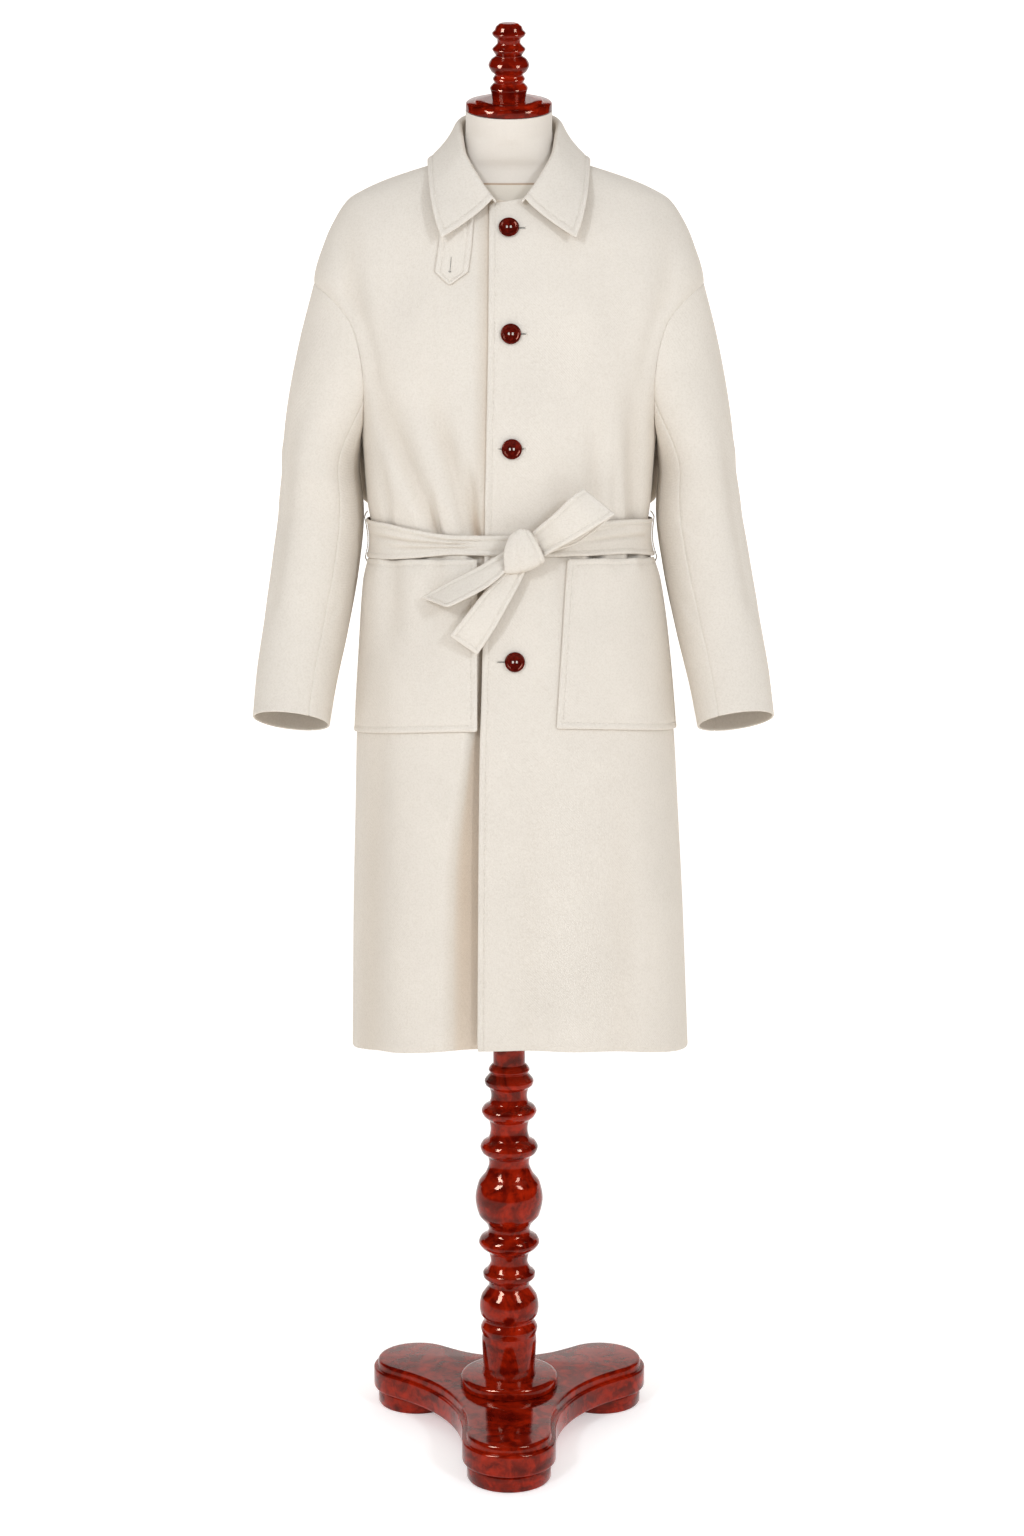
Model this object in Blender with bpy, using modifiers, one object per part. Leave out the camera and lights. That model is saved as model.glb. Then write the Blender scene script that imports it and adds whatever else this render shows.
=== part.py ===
"""A belted wool coat on a turned dress-form stand.

Metres, +Z up. The coat faces -Y, and the origin is on the floor under the middle of the object.
"""

import math

import bmesh
import bpy
import numpy as np
from mathutils import Matrix, Vector

# Driving dimensions
CLOTH = 0.0025
BELT_CLOTH = 0.004
SEAM = 0.0003
SQUARENESS = 2.35
UNDERARM = 1.280
SHOULDER_DROP = 1.464
NECK_POINT = 1.608
NECK_HALF_WIDTH = 0.0765
NECK_FRONT_DROP = 0.056
NECK_BACK_RISE = 0.006
NECK_END_ANGLE = math.radians(166.4)
FRAME_SHIFT = Vector((-0.0054, 0.0306, 0))
THREAD_RADIUS = 0.0012
BUTTON_RADIUS = 0.012
BUTTON_LIFT = 0.0007
TAB_LIFT = 0.0009
POCKET_LIFT = 0.0013
BELT_LIFT = 0.0018
NECK_TILT = math.radians(17)
CAP_CENTRE = Vector((0, -0.030, 1.6665))
FORM_BOTTOM = 0.800
LEG_REACH = 0.152
LEG_END_RADIUS = 0.0585
LEG_STRAIGHT_FROM = 0.85
LEG_ANGLES = (-90, 37, 143)
PLATE_BOTTOM, PLATE_TOP = 0.0223, 0.060
FOOT_RADIUS = 0.0525
PLINTH_RADIUS, PLINTH_TOP = 0.063, 0.0745
SHAFT_RADIUS = 0.0203

# Colours, roughness and metallic value of each finish
FINISHES = {
    "wool": ((0.83, 0.78, 0.70), 0.9, 0.0),
    "lacquer": ((0.24, 0.012, 0.004), 0.15, 0.0),
    "button": ((0.09, 0.008, 0.005), 0.25, 0.0),
    "form_cover": ((0.86, 0.81, 0.74), 0.85, 0.0),
    "thread": ((0.80, 0.74, 0.65), 0.8, 0.0),
}


class Sections:
    """A short table with named columns, read as smooth curves over its first column."""

    def __init__(self, columns, rows):
        table = np.array(rows, float)
        self.keys = table[:, 0]
        self.values = {name: table[:, i + 1] for i, name in enumerate(columns[1:])}

    def at(self, key, name):
        return smooth(key, self.keys, self.values[name])


def smooth(at, keys, values):
    """A curve through the values that doesn't overshoot between two rows."""
    at = np.clip(np.asarray(at, float), keys[0], keys[-1])
    steps = np.diff(keys)
    slopes = np.diff(values) / steps
    before, after = slopes[:-1], slopes[1:]
    turning = before * after <= 0
    total = np.where(turning, 1.0, before + after)
    inner = np.where(turning, 0.0, 2 * before * after / total)
    tangents = np.concatenate([slopes[:1], inner, slopes[-1:]])
    i = np.clip(np.searchsorted(keys, at) - 1, 0, len(keys) - 2)
    t = (at - keys[i]) / steps[i]
    rest = 1 - t
    return (
        values[i] * rest * rest * (1 + 2 * t)
        + tangents[i] * steps[i] * t * rest * rest
        - tangents[i + 1] * steps[i] * t * t * rest
        + values[i + 1] * t * t * (3 - 2 * t)
    )


def ramp(value):
    """0 below 0 and 1 above 1, with a soft start and end."""
    value = np.clip(value, 0, 1)
    return value * value * (3 - 2 * value)


# The coat's body, hem to neck: half width, depth in front and behind, sideways shift and lean
BODY = Sections(
    ("height", "half_width", "front", "back", "shift", "lean"),
    (
        (0.518, 0.2121, 0.140, 0.140, 0.0140, 0.000),
        (0.700, 0.2065, 0.140, 0.136, 0.0113, 0.000),
        (0.827, 0.2009, 0.139, 0.133, 0.0094, 0.000),
        (0.903, 0.1977, 0.138, 0.130, 0.0081, 0.000),
        (1.029, 0.1884, 0.132, 0.122, 0.0062, 0.000),
        (1.103, 0.1803, 0.125, 0.114, 0.0037, 0.000),
        (1.156, 0.1680, 0.117, 0.106, 0.0015, 0.000),
        (1.200, 0.1735, 0.123, 0.112, 0.0000, 0.000),
        (1.280, 0.1800, 0.130, 0.120, 0.0000, 0.000),
        (1.400, 0.2170, 0.126, 0.125, 0.0000, 0.000),
        (1.464, 0.2360, 0.117, 0.124, 0.0000, 0.000),
        (1.515, 0.2215, 0.103, 0.118, 0.0000, -0.003),
        (1.539, 0.2104, 0.091, 0.113, 0.0000, -0.005),
        (1.563, 0.1932, 0.075, 0.106, 0.0000, -0.008),
        (1.575, 0.1732, 0.068, 0.101, 0.0000, -0.009),
        (1.586, 0.1478, 0.061, 0.096, 0.0000, -0.010),
        (1.595, 0.1212, 0.056, 0.091, 0.0000, -0.011),
        (1.603, 0.0946, 0.050, 0.086, 0.0000, -0.012),
        (1.608, 0.0765, 0.046, 0.082, 0.0000, -0.012),
        (1.620, 0.0500, 0.040, 0.076, 0.0000, -0.012),
    ),
)

# Where the left front's edge lies, how deep the right front dips under it, and how wide that dip is
CLOSING = Sections(
    ("height", "edge", "dip", "dip_width"),
    (
        (0.518, -0.0377, 0.024, 0.040),
        (0.750, -0.0360, 0.022, 0.036),
        (0.900, -0.0340, 0.016, 0.020),
        (0.960, -0.0320, 0.013, 0.012),
        (1.100, -0.0290, 0.009, 0.010),
        (1.156, -0.0280, 0.005, 0.014),
        (1.270, -0.0259, 0.005, 0.022),
        (1.403, -0.0234, 0.005, 0.022),
        (1.552, -0.0223, 0.005, 0.018),
    ),
)
UNDERLAP = 0.052

# The panels' rows: heights up to the underarm, and how many more there are above it
LOWER_ROWS = (
    0.518, 0.600, 0.690, 0.780, 0.860, 0.930, 0.990, 1.045, 1.090, 1.120,
    1.140, 1.156, 1.174, 1.196, 1.228, 1.280,
)
UPPER_ROWS = 11
PANEL_ROWS = len(LOWER_ROWS) - 1 + UPPER_ROWS
LOWER_PART = (len(LOWER_ROWS) - 1) / PANEL_ROWS
RISE_POWER = 1.25
SLEEVE_SEAM_ROW = 3

# How far the front hangs above the sides
LIFT = Sections(
    ("height", "lift"),
    (
        (0.518, 0.024),
        (0.920, 0.016),
        (1.103, 0.011),
        (1.156, 0.002),
        (1.200, 0.000),
        (1.620, 0.000),
    ),
)

# The front half of the armhole: how far out its seam lies
ARMHOLE = Sections(
    ("height", "out"),
    (
        (1.280, 0.1800),
        (1.300, 0.1750),
        (1.340, 0.1735),
        (1.367, 0.1755),
        (1.390, 0.1800),
        (1.416, 0.1890),
        (1.440, 0.2080),
        (1.464, 0.2360),
    ),
)

# Pleats drawn in by the belt on the fronts: top and bottom of each, half width there, and depth
PLEAT_COLUMNS = ("top_x", "top_z", "foot_x", "foot_z", "top_width", "foot_width", "depth")
PLEATS = (
    (-0.150, 1.350, -0.112, 1.156, 0.016, 0.008, 0.0040),
    (-0.100, 1.330, -0.082, 1.156, 0.012, 0.006, 0.0050),
    (-0.062, 1.300, -0.042, 1.156, 0.014, 0.006, 0.0065),
    (0.146, 1.340, 0.140, 1.156, 0.014, 0.007, 0.0040),
    (0.104, 1.270, 0.104, 1.156, 0.010, 0.006, 0.0025),
)

# The sleeve below the armhole: distance out, forward place, half width and half depth of each ring
SLEEVE = Sections(
    ("height", "out", "forward", "half_width", "half_depth"),
    (
        (0.938, 0.2700, -0.0700, 0.0465, 0.0450),
        (0.985, 0.2640, -0.0510, 0.0485, 0.0490),
        (1.053, 0.2515, -0.0250, 0.0510, 0.0560),
        (1.130, 0.2385, -0.0050, 0.0525, 0.0630),
        (1.190, 0.2310, 0.0040, 0.0515, 0.0690),
        (1.235, 0.2300, 0.0060, 0.0470, 0.0730),
    ),
)
SLEEVE_SHIFT = Sections(("height", "shift"), ((0.938, 0.0055), (1.130, 0.0025), (1.235, 0.000)))
SLEEVE_ROWS = 13
SLEEVE_SEAM_GAP = 0.003
ARMHOLE_GAP = 0.0010

# The collar round the neck, back (0) to front end: its roll line and the edge of its fall
COLLAR = Sections(
    ("angle", "roll_x", "roll_y", "roll_z", "edge_x", "edge_y", "edge_z"),
    (
        (0.0, 0.0000, 0.0540, 1.6700, 0.0000, 0.1020, 1.6080),
        (45.0, 0.0450, 0.0380, 1.6670, 0.0770, 0.0660, 1.6110),
        (90.0, 0.0600, -0.0080, 1.6540, 0.0965, -0.0180, 1.6095),
        (125.0, 0.0550, -0.0560, 1.6210, 0.0925, -0.0860, 1.5720),
        (150.0, 0.0365, -0.0860, 1.5850, 0.0855, -0.1110, 1.5370),
        (166.4, 0.0190, -0.1000, 1.5600, 0.0778, -0.1220, 1.5140),
    ),
)
COLLAR_FOLD = 0.0042
COLLAR_SAG = 0.004
COLLAR_INSET = 0.0018
COLLAR_RISE_BACK, COLLAR_RISE_FRONT = 0.0006, 0.0056

# The dress form, bottom to neck: half width, depth in front and behind, and lean
FORM = Sections(
    ("height", "half_width", "front", "back", "lean"),
    (
        (0.800, 0.120, 0.080, 0.080, 0.000),
        (0.815, 0.150, 0.098, 0.096, 0.000),
        (0.860, 0.168, 0.106, 0.104, 0.000),
        (0.980, 0.170, 0.106, 0.104, 0.000),
        (1.156, 0.136, 0.090, 0.084, 0.000),
        (1.300, 0.158, 0.108, 0.100, 0.000),
        (1.400, 0.168, 0.106, 0.106, 0.000),
        (1.480, 0.176, 0.098, 0.104, 0.000),
        (1.525, 0.177, 0.082, 0.098, -0.003),
        (1.548, 0.171, 0.068, 0.090, -0.006),
        (1.565, 0.160, 0.059, 0.084, -0.008),
        (1.579, 0.145, 0.052, 0.079, -0.009),
        (1.5878, 0.126, 0.048, 0.072, -0.010),
        (1.5938, 0.106, 0.046, 0.066, -0.011),
        (1.5988, 0.084, 0.046, 0.061, -0.012),
        (1.606, 0.066, 0.049, 0.059, -0.014),
        (1.622, 0.055, 0.052, 0.054, -0.017),
    ),
)
FORM_NECK_RADIUS = 0.0515

# The turned post, plinth to form: radius at each height
POST_PROFILE = (
    (0.0748, 0.0345),
    (0.0850, 0.0335),
    (0.1220, 0.0352),
    (0.1290, 0.0345),
    (0.1310, 0.0352),
    (0.1373, 0.0366),
    (0.1425, 0.0345),
    (0.1480, 0.0320),
    (0.1565, 0.0368),
    (0.1657, 0.0381),
    (0.1780, 0.0362),
    (0.1880, 0.0300),
    (0.1941, 0.0258),
    (0.2000, 0.0272),
    (0.2060, 0.0332),
    (0.2110, 0.0335),
    (0.2160, 0.0280),
    (0.2264, 0.0237),
    (0.2380, 0.0262),
    (0.2460, 0.0355),
    (0.2519, 0.0388),
    (0.2580, 0.0365),
    (0.2640, 0.0280),
    (0.2693, 0.0262),
    (0.2760, 0.0285),
    (0.2900, 0.0392),
    (0.3107, 0.0432),
    (0.3310, 0.0392),
    (0.3450, 0.0295),
    (0.3572, 0.0256),
    (0.3660, 0.0275),
    (0.3720, 0.0345),
    (0.3785, 0.0367),
    (0.3850, 0.0335),
    (0.3900, 0.0262),
    (0.4023, 0.0237),
    (0.4130, 0.0255),
    (0.4200, 0.0325),
    (0.4261, 0.0351),
    (0.4320, 0.0322),
    (0.4370, 0.0250),
    (0.4458, 0.0229),
    (0.4560, 0.0250),
    (0.4610, 0.0302),
    (0.4656, 0.0312),
    (0.4720, 0.0270),
    (0.4760, 0.0240),
    (0.4800, 0.0261),
    (0.4850, 0.0235),
    (0.4880, SHAFT_RADIUS),
)

# The neck cap and its finial along the neck's axis: radius at each distance above the cap's seat
CAP_PROFILE = (
    (0.0000, 0.0500),
    (0.0008, 0.0515),
    (0.0075, 0.0515),
    (0.0090, 0.0500),
    (0.0090, 0.0410),
    (0.0115, 0.0400),
    (0.0120, 0.0390),
)
FINIAL_SEAT = 0.0123
FINIAL_PROFILE = (
    (0.0000, 0.0195),
    (0.0090, 0.0212),
    (0.0135, 0.0226),
    (0.0180, 0.0195),
    (0.0200, 0.0173),
    (0.0245, 0.0191),
    (0.0290, 0.0168),
    (0.0340, 0.0215),
    (0.0405, 0.0242),
    (0.0470, 0.0212),
    (0.0515, 0.0157),
    (0.0550, 0.0175),
    (0.0590, 0.0197),
    (0.0630, 0.0160),
    (0.0665, 0.0136),
    (0.0700, 0.0140),
    (0.0750, 0.0190),
    (0.0775, 0.0199),
    (0.0810, 0.0168),
    (0.0850, 0.0152),
    (0.0870, 0.0125),
)

# The tripod plate's edge: how far in its outline lies at each height
PLATE_LAYERS = (
    (0.0030, PLATE_BOTTOM),
    (0.0000, PLATE_BOTTOM + 0.003),
    (0.0000, 0.0500),
    (0.0055, 0.0545),
    (0.0060, PLATE_TOP),
)

# The belt: top and bottom edge at each angle from the front, viewer's left to right
BELT = Sections(
    ("angle", "top", "bottom"),
    (
        (-180, 1.1800, 1.1340),
        (-90, 1.1796, 1.1331),
        (-60, 1.1785, 1.1345),
        (-38, 1.1720, 1.1385),
        (-18, 1.1660, 1.1440),
        (8, 1.1660, 1.1420),
        (28, 1.1790, 1.1420),
        (45, 1.1830, 1.1425),
        (90, 1.1796, 1.1343),
        (180, 1.1800, 1.1340),
    ),
)

# The belt's bow: centre line of each band, its half width, and which way the width points
BAND_COLUMNS = ("x", "y", "z", "half_width", "width_x", "width_y", "width_z")
TAIL_UPPER = (
    (-0.0035, -0.1405, 1.1385, 0.0110, -0.25, 0.40, 0.88),
    (-0.0300, -0.1470, 1.1215, 0.0140, -0.33, 0.55, 0.76),
    (-0.0600, -0.1465, 1.1060, 0.0165, -0.42, 0.68, 0.60),
    (-0.0887, -0.1420, 1.0905, 0.0180, -0.48, 0.78, 0.40),
)
TAIL_LOWER = (
    (0.0065, -0.1385, 1.1241, 0.0120, 0.93, -0.05, -0.36),
    (-0.0140, -0.1480, 1.0960, 0.0155, 0.88, -0.02, -0.47),
    (-0.0320, -0.1500, 1.0690, 0.0175, 0.85, 0.00, -0.53),
    (-0.0533, -0.1480, 1.0393, 0.0190, 0.82, 0.00, -0.57),
)
BOW_FRONT = (
    (0.0431, -0.1415, 1.1646, 0.0125, -0.50, 0.10, 0.86),
    (0.0650, -0.1540, 1.1800, 0.0180, -0.56, 0.06, 0.82),
    (0.0850, -0.1560, 1.1960, 0.0210, -0.60, 0.02, 0.79),
    (0.1030, -0.1530, 1.2090, 0.0222, -0.62, 0.00, 0.78),
)
BOW_BACK = (
    (0.0431, -0.1345, 1.1656, 0.0115, -0.50, 0.10, 0.86),
    (0.0650, -0.1440, 1.1800, 0.0170, -0.56, 0.06, 0.82),
    (0.0850, -0.1460, 1.1960, 0.0205, -0.60, 0.02, 0.79),
    (0.1030, -0.1487, 1.2090, 0.0222, -0.62, 0.00, 0.78),
)
KNOT_CENTRE = Vector((0.0200, -0.1381, 1.1510))
KNOT_HALF_SIZE = Vector((0.0255, 0.0150, 0.0285))
KNOT_LEAN = math.radians(-16)

# The buttons: where each lies on the left front
BUTTONS = ((0.0000, 1.5255), (0.0023, 1.4029), (0.0035, 1.2692), (0.0071, 1.0030))

# A button's section: radius at each height above its back
BUTTON_PROFILE = (
    (0.0000, 0.0095),
    (0.0008, 0.0112),
    (0.0022, BUTTON_RADIUS),
    (0.0036, 0.0114),
    (0.0040, 0.0098),
    (0.0032, 0.0078),
)

# The throat tab: half width and middle at each height, top to point
TAB_COLUMNS = ("height", "middle", "half_width")
TAB = (
    (1.5450, -0.0600, 0.0180),
    (1.5100, -0.0622, 0.0180),
    (1.4720, -0.0672, 0.0180),
    (1.4660, -0.0680, 0.0120),
    (1.4600, -0.0688, 0.0030),
)

# The patch pockets: inner edge at top and foot, outer edge, top and foot
POCKET_COLUMNS = ("side", "inner_top", "inner_foot", "outer_angle", "top", "foot")
POCKETS = {
    "pocket_left": (1, 0.0702, 0.0575, 82, 1.1274, 0.9186),
    "pocket_right": (-1, 0.0385, 0.0385, 82, 1.1290, 0.9150),
}


def ring_values(height):
    """The body's sizes at a height."""
    return [BODY.at(height, name) for name in ("half_width", "front", "back", "shift", "lean")]


def outside(x, y, height):
    """Below 1 inside the body's section at that height, 1 on it and above 1 outside."""
    half_width, front, back, shift, lean = ring_values(height)
    depth = np.where(y < lean, front, back)
    across = np.abs(x - shift) / half_width
    along = np.abs(y - lean) / depth
    return across**SQUARENESS + along**SQUARENESS


def outward(x, y, height):
    """The body's outward direction at a point."""
    step = 1e-4
    slope = np.stack(
        [
            outside(x + step, y, height) - outside(x - step, y, height),
            outside(x, y + step, height) - outside(x, y - step, height),
            outside(x, y, height + step) - outside(x, y, height - step),
        ],
        axis=-1,
    )
    return slope / np.maximum(np.linalg.norm(slope, axis=-1, keepdims=True), 1e-9)


def depth_at(x, height, facing):
    """The y of the body at x and height, in front (-1) or behind (1)."""
    half_width, front, back, shift, lean = ring_values(height)
    depth = front if facing < 0 else back
    across = np.clip(np.abs(x - shift) / half_width, 0, 1)
    return lean + facing * depth * (1 - across**SQUARENESS) ** (1 / SQUARENESS)


def pleat_depth(x, height):
    """How far the belt's pleats draw the fronts in."""
    drawn = np.zeros_like(x)
    for row in PLEATS:
        fold = dict(zip(PLEAT_COLUMNS, row))
        along = (fold["top_z"] - height) / (fold["top_z"] - fold["foot_z"])
        middle = fold["top_x"] + (fold["foot_x"] - fold["top_x"]) * along
        width = fold["top_width"] + (fold["foot_width"] - fold["top_width"]) * along
        fade = ramp(along * 1.2) * ramp((height - fold["foot_z"] + 0.03) / 0.05)
        drawn = drawn + fold["depth"] * fade * np.exp(-(((x - middle) / width) ** 2))
    return drawn


def under_depth(x, height):
    """How far the right front dips to pass under the left front's edge."""
    past = x - CLOSING.at(height, "edge")
    width = CLOSING.at(height, "dip_width")
    return CLOSING.at(height, "dip") * ramp((past + width) / width)


def hang(points, normals, height, draw):
    """Moves points of the body in by draw, and lifts those in front."""
    _, front, _, _, lean = ring_values(height)
    frontness = np.clip((lean - points[..., 1]) / front, 0, 1)
    moved = points - normals * draw[..., None]
    moved[..., 2] += LIFT.at(height, "lift") * frontness**2
    return moved


def body_points(x, y, height, facing, offset, dips=False):
    """The cloth's face at offset outside the body, with its pleats, dip and lift."""
    points = np.stack([x, y, height], axis=-1)
    normals = outward(x, y, height)
    draw = np.full_like(x, -offset)
    if facing < 0:
        draw = draw + pleat_depth(x, height)
        if dips:
            draw = draw + under_depth(x, height)
    return hang(points, normals, height, draw)


def neckline(angle):
    """x and height of the neckline, from the back (0) to the front (pi)."""
    forward = np.maximum(-np.cos(angle), 0)
    behind = np.maximum(np.cos(angle), 0)
    height = NECK_POINT - NECK_FRONT_DROP * forward**1.4 + NECK_BACK_RISE * behind**1.5
    return NECK_HALF_WIDTH * np.sin(angle), height


def top_edge(share, neck_share, start, end):
    """x and height along the neckline and then the shoulder seam."""
    around = np.clip(share / neck_share, 0, 1)
    neck_x, neck_z = neckline(start + (end - start) * around)
    along = np.clip((share - neck_share) / (1 - neck_share), 0, 1)
    drop = NECK_POINT + (SHOULDER_DROP - NECK_POINT) * along**1.5
    on_neck = share <= neck_share
    return np.where(on_neck, neck_x, BODY.at(drop, "half_width")), np.where(on_neck, neck_z, drop)


def ring_angle(x, height):
    """The angle from the front at which the body's section reaches x."""
    half_width, shift = BODY.at(height, "half_width"), BODY.at(height, "shift")
    across = np.clip((x - shift) / half_width, -1, 1)
    return np.arcsin(np.sign(across) * np.abs(across) ** (SQUARENESS / 2))


def ring_point(angle, height):
    """x and y of the body's section at an angle from the front."""
    half_width, front, back, shift, lean = ring_values(height)
    sine, cosine = np.sin(angle), np.cos(angle)
    x = shift + half_width * np.sign(sine) * np.abs(sine) ** (2 / SQUARENESS)
    depth = np.where(cosine > 0, -front, back)
    return x, lean + depth * np.abs(cosine) ** (2 / SQUARENESS)


def panel_rise(high):
    """How far up the outline above the underarm each row lies: closer together at the shoulder."""
    return 1 - (1 - np.clip(high, 0, 1)) ** RISE_POWER


def front_angle(share, height, side, start_x):
    """The angle of a front's columns: three of the right front's follow its dip under the left."""
    begin = side * ring_angle(side * start_x(height), height)
    if side > 0:
        return begin + (math.pi / 2 - begin) * share
    edge, width = CLOSING.at(height, "edge"), CLOSING.at(height, "dip_width")
    turns = [begin] + [side * ring_angle(edge - width * k, height) for k in (-0.15, 0.5, 1.0)]
    turns.append(np.full_like(begin, math.pi / 2))
    stops = (0, 1 / 12, 2 / 12, 3 / 12, 1)
    angle = begin
    for i in range(4):
        t = np.clip((share - stops[i]) / (stops[i + 1] - stops[i]), 0, 1)
        angle = angle + (turns[i + 1] - turns[i]) * t
    return angle


def panel(share, level, facing, side, start_x, offset):
    """A front or half back: share runs from its middle edge to its seam, level from hem to top.

    Below the underarm the panel follows the body's rings. Above it, the panel fills the outline
    between its middle edge, the armhole, and the neckline with the shoulder seam.
    """
    height = np.interp(level * PANEL_ROWS, np.arange(len(LOWER_ROWS)), LOWER_ROWS)
    if facing < 0:
        angle = front_angle(share, height, side, start_x)
    else:
        angle = math.pi - math.pi / 2 * share
    x, y = ring_point(side * angle, height)

    rise = panel_rise((level - LOWER_PART) / (1 - LOWER_PART))
    seat = np.full_like(share, UNDERARM)
    seat_angle = front_angle(share, seat, side, start_x) if facing < 0 else angle
    seat_x, _ = ring_point(seat_angle, seat)
    arm_z = UNDERARM + (SHOULDER_DROP - UNDERARM) * (1 - np.cos(math.pi * rise)) / 2
    arm_x = ARMHOLE.at(arm_z, "out")
    if facing < 0:
        neck_z = float(neckline(np.array(NECK_END_ANGLE))[1])
        middle_z = UNDERARM + (neck_z - UNDERARM) * rise
        middle_x = start_x(middle_z)
        top_x, top_z = top_edge(share, 0.42, NECK_END_ANGLE, math.pi / 2)
        slip = np.clip(1 - share / 0.14, 0, 1)
        end_x = float(neckline(np.array(NECK_END_ANGLE))[0])
        top_x = top_x + slip * (start_x(np.array(neck_z)) - end_x)
    else:
        middle_z = UNDERARM + (NECK_POINT + NECK_BACK_RISE - UNDERARM) * rise
        middle_x = np.zeros_like(share)
        top_x, top_z = top_edge(share, 0.36, 0.0, math.pi / 2)

    def coons(bottom, top, left, right, corners):
        flat = (1 - share) * ((1 - rise) * corners[0] + rise * corners[1]) + share * (
            (1 - rise) * corners[2] + rise * corners[3]
        )
        return (1 - rise) * bottom + rise * top + (1 - share) * left + share * right - flat

    low_start = start_x(np.array(UNDERARM)) if facing < 0 else 0.0
    top_start = start_x(np.array(NECK_POINT)) if facing < 0 else 0.0
    start_z = neck_z if facing < 0 else NECK_POINT + NECK_BACK_RISE
    corner_x = (low_start, top_start, BODY.at(UNDERARM, "half_width"), BODY.at(SHOULDER_DROP, "half_width"))
    corner_z = (UNDERARM, start_z, UNDERARM, SHOULDER_DROP)
    upper_x = coons(seat_x, top_x, middle_x, arm_x, corner_x)
    upper_z = coons(seat, top_z, middle_z, arm_z, corner_z)
    above = level > LOWER_PART + 1e-9
    height = np.where(above, upper_z, height)
    x = np.where(above, side * upper_x, x)
    y = np.where(above, depth_at(x, height, facing), y)
    points = body_points(x, y, height, facing, offset, dips=side < 0)
    points[..., 1] += facing * SEAM
    return points


def left_edge(height):
    """Where the left front begins, measured towards its own side."""
    return CLOSING.at(height, "edge")


def right_edge(height):
    """Where the right front begins, measured towards its own side."""
    return -CLOSING.at(height, "edge") - UNDERLAP


def armhole_loop(turn, side):
    """The armhole seam: turn 0 at the shoulder, a quarter in front, a half under the arm."""
    height = (SHOULDER_DROP + UNDERARM) / 2 + (SHOULDER_DROP - UNDERARM) / 2 * np.cos(turn)
    x = ARMHOLE.at(height, "out")
    y = np.where(np.sin(turn) >= 0, depth_at(x, height, -1), depth_at(x, height, 1))
    return np.stack([x * side, y, height], -1)


def sleeve_ring(turn, height, side):
    """A sleeve ring square to the sleeve's run, and that run's direction."""
    step = 0.004
    places = []
    for level in (height - step, height, height + step):
        level = np.clip(level, SLEEVE.keys[0], SLEEVE.keys[-1])
        out = side * SLEEVE.at(level, "out") + SLEEVE_SHIFT.at(level, "shift")
        places.append(np.stack([out, SLEEVE.at(level, "forward"), level], -1))
    run = places[0] - places[2]
    run = run / np.linalg.norm(run, axis=-1, keepdims=True)
    across = np.stack([np.full_like(height, side), np.zeros_like(height), np.zeros_like(height)], -1)
    across = across - run * np.sum(across * run, -1, keepdims=True)
    across = across / np.linalg.norm(across, axis=-1, keepdims=True)
    forward = np.cross(run, across) * side
    half_width = SLEEVE.at(height, "half_width")[..., None]
    half_depth = SLEEVE.at(height, "half_depth")[..., None]
    cosine, sine = np.cos(turn)[..., None], np.sin(turn)[..., None]
    return places[1] + across * half_width * cosine + forward * half_depth * sine, run


def sleeve_skin(turn, level, side):
    """The sleeve's right side: level runs from the armhole (0) to the cuff (1)."""
    cap_part = 4 / SLEEVE_ROWS
    seam = armhole_loop(turn, side)
    ring, run = sleeve_ring(turn, np.full_like(turn, SLEEVE.keys[-1]), side)
    t = np.clip(level / cap_part, 0, 1)[..., None]
    rest = 1 - t
    chord = ring - seam
    length = np.linalg.norm(chord, axis=-1, keepdims=True)
    topness = np.maximum(np.cos(turn), 0)[..., None]
    leave = chord / length * (1 - topness) + np.array([0.25 * side, 0.0, -0.97]) * topness
    leave = leave / np.linalg.norm(leave, axis=-1, keepdims=True) * length
    cap = (
        seam * rest * rest * (1 + 2 * t)
        + leave * t * rest * rest
        - run * length * t * t * rest
        + ring * t * t * (3 - 2 * t)
    )
    below = np.clip((level - cap_part) / (1 - cap_part), 0, 1)
    height = SLEEVE.keys[-1] + (SLEEVE.keys[0] - SLEEVE.keys[-1]) * below
    arm, _ = sleeve_ring(turn, height, side)
    return np.where((level > cap_part)[..., None], arm, cap)


def sleeve(turn, level, side, offset):
    """The sleeve's cloth at offset outside its right side."""
    step = 0.004
    round_it = sleeve_skin(turn + step, level, side) - sleeve_skin(turn - step, level, side)
    upper, lower = np.maximum(level - step, 0), np.minimum(level + step, 1)
    down_it = sleeve_skin(turn, lower, side) - sleeve_skin(turn, upper, side)
    normals = np.cross(round_it, down_it) * side
    normals = normals / np.linalg.norm(normals, axis=-1, keepdims=True)
    points = sleeve_skin(turn, level, side) + normals * offset
    points[..., 0] += side * ARMHOLE_GAP
    return points


def sleeve_turn(share, piece):
    """The turn of a sleeve's columns, which meet the armhole at the panels' rows."""
    seam = SLEEVE_SEAM_ROW / UPPER_ROWS
    if piece == "top":
        turn = math.pi * (1 - panel_rise(1 - np.abs(share) * (1 - seam)))
        return np.sign(share) * (turn - SLEEVE_SEAM_GAP * np.abs(share))
    turn = math.pi * (1 - panel_rise(np.abs(share) * seam)) + SLEEVE_SEAM_GAP * np.abs(share)
    return np.where(share < 0, turn, 2 * math.pi - turn)


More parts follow.
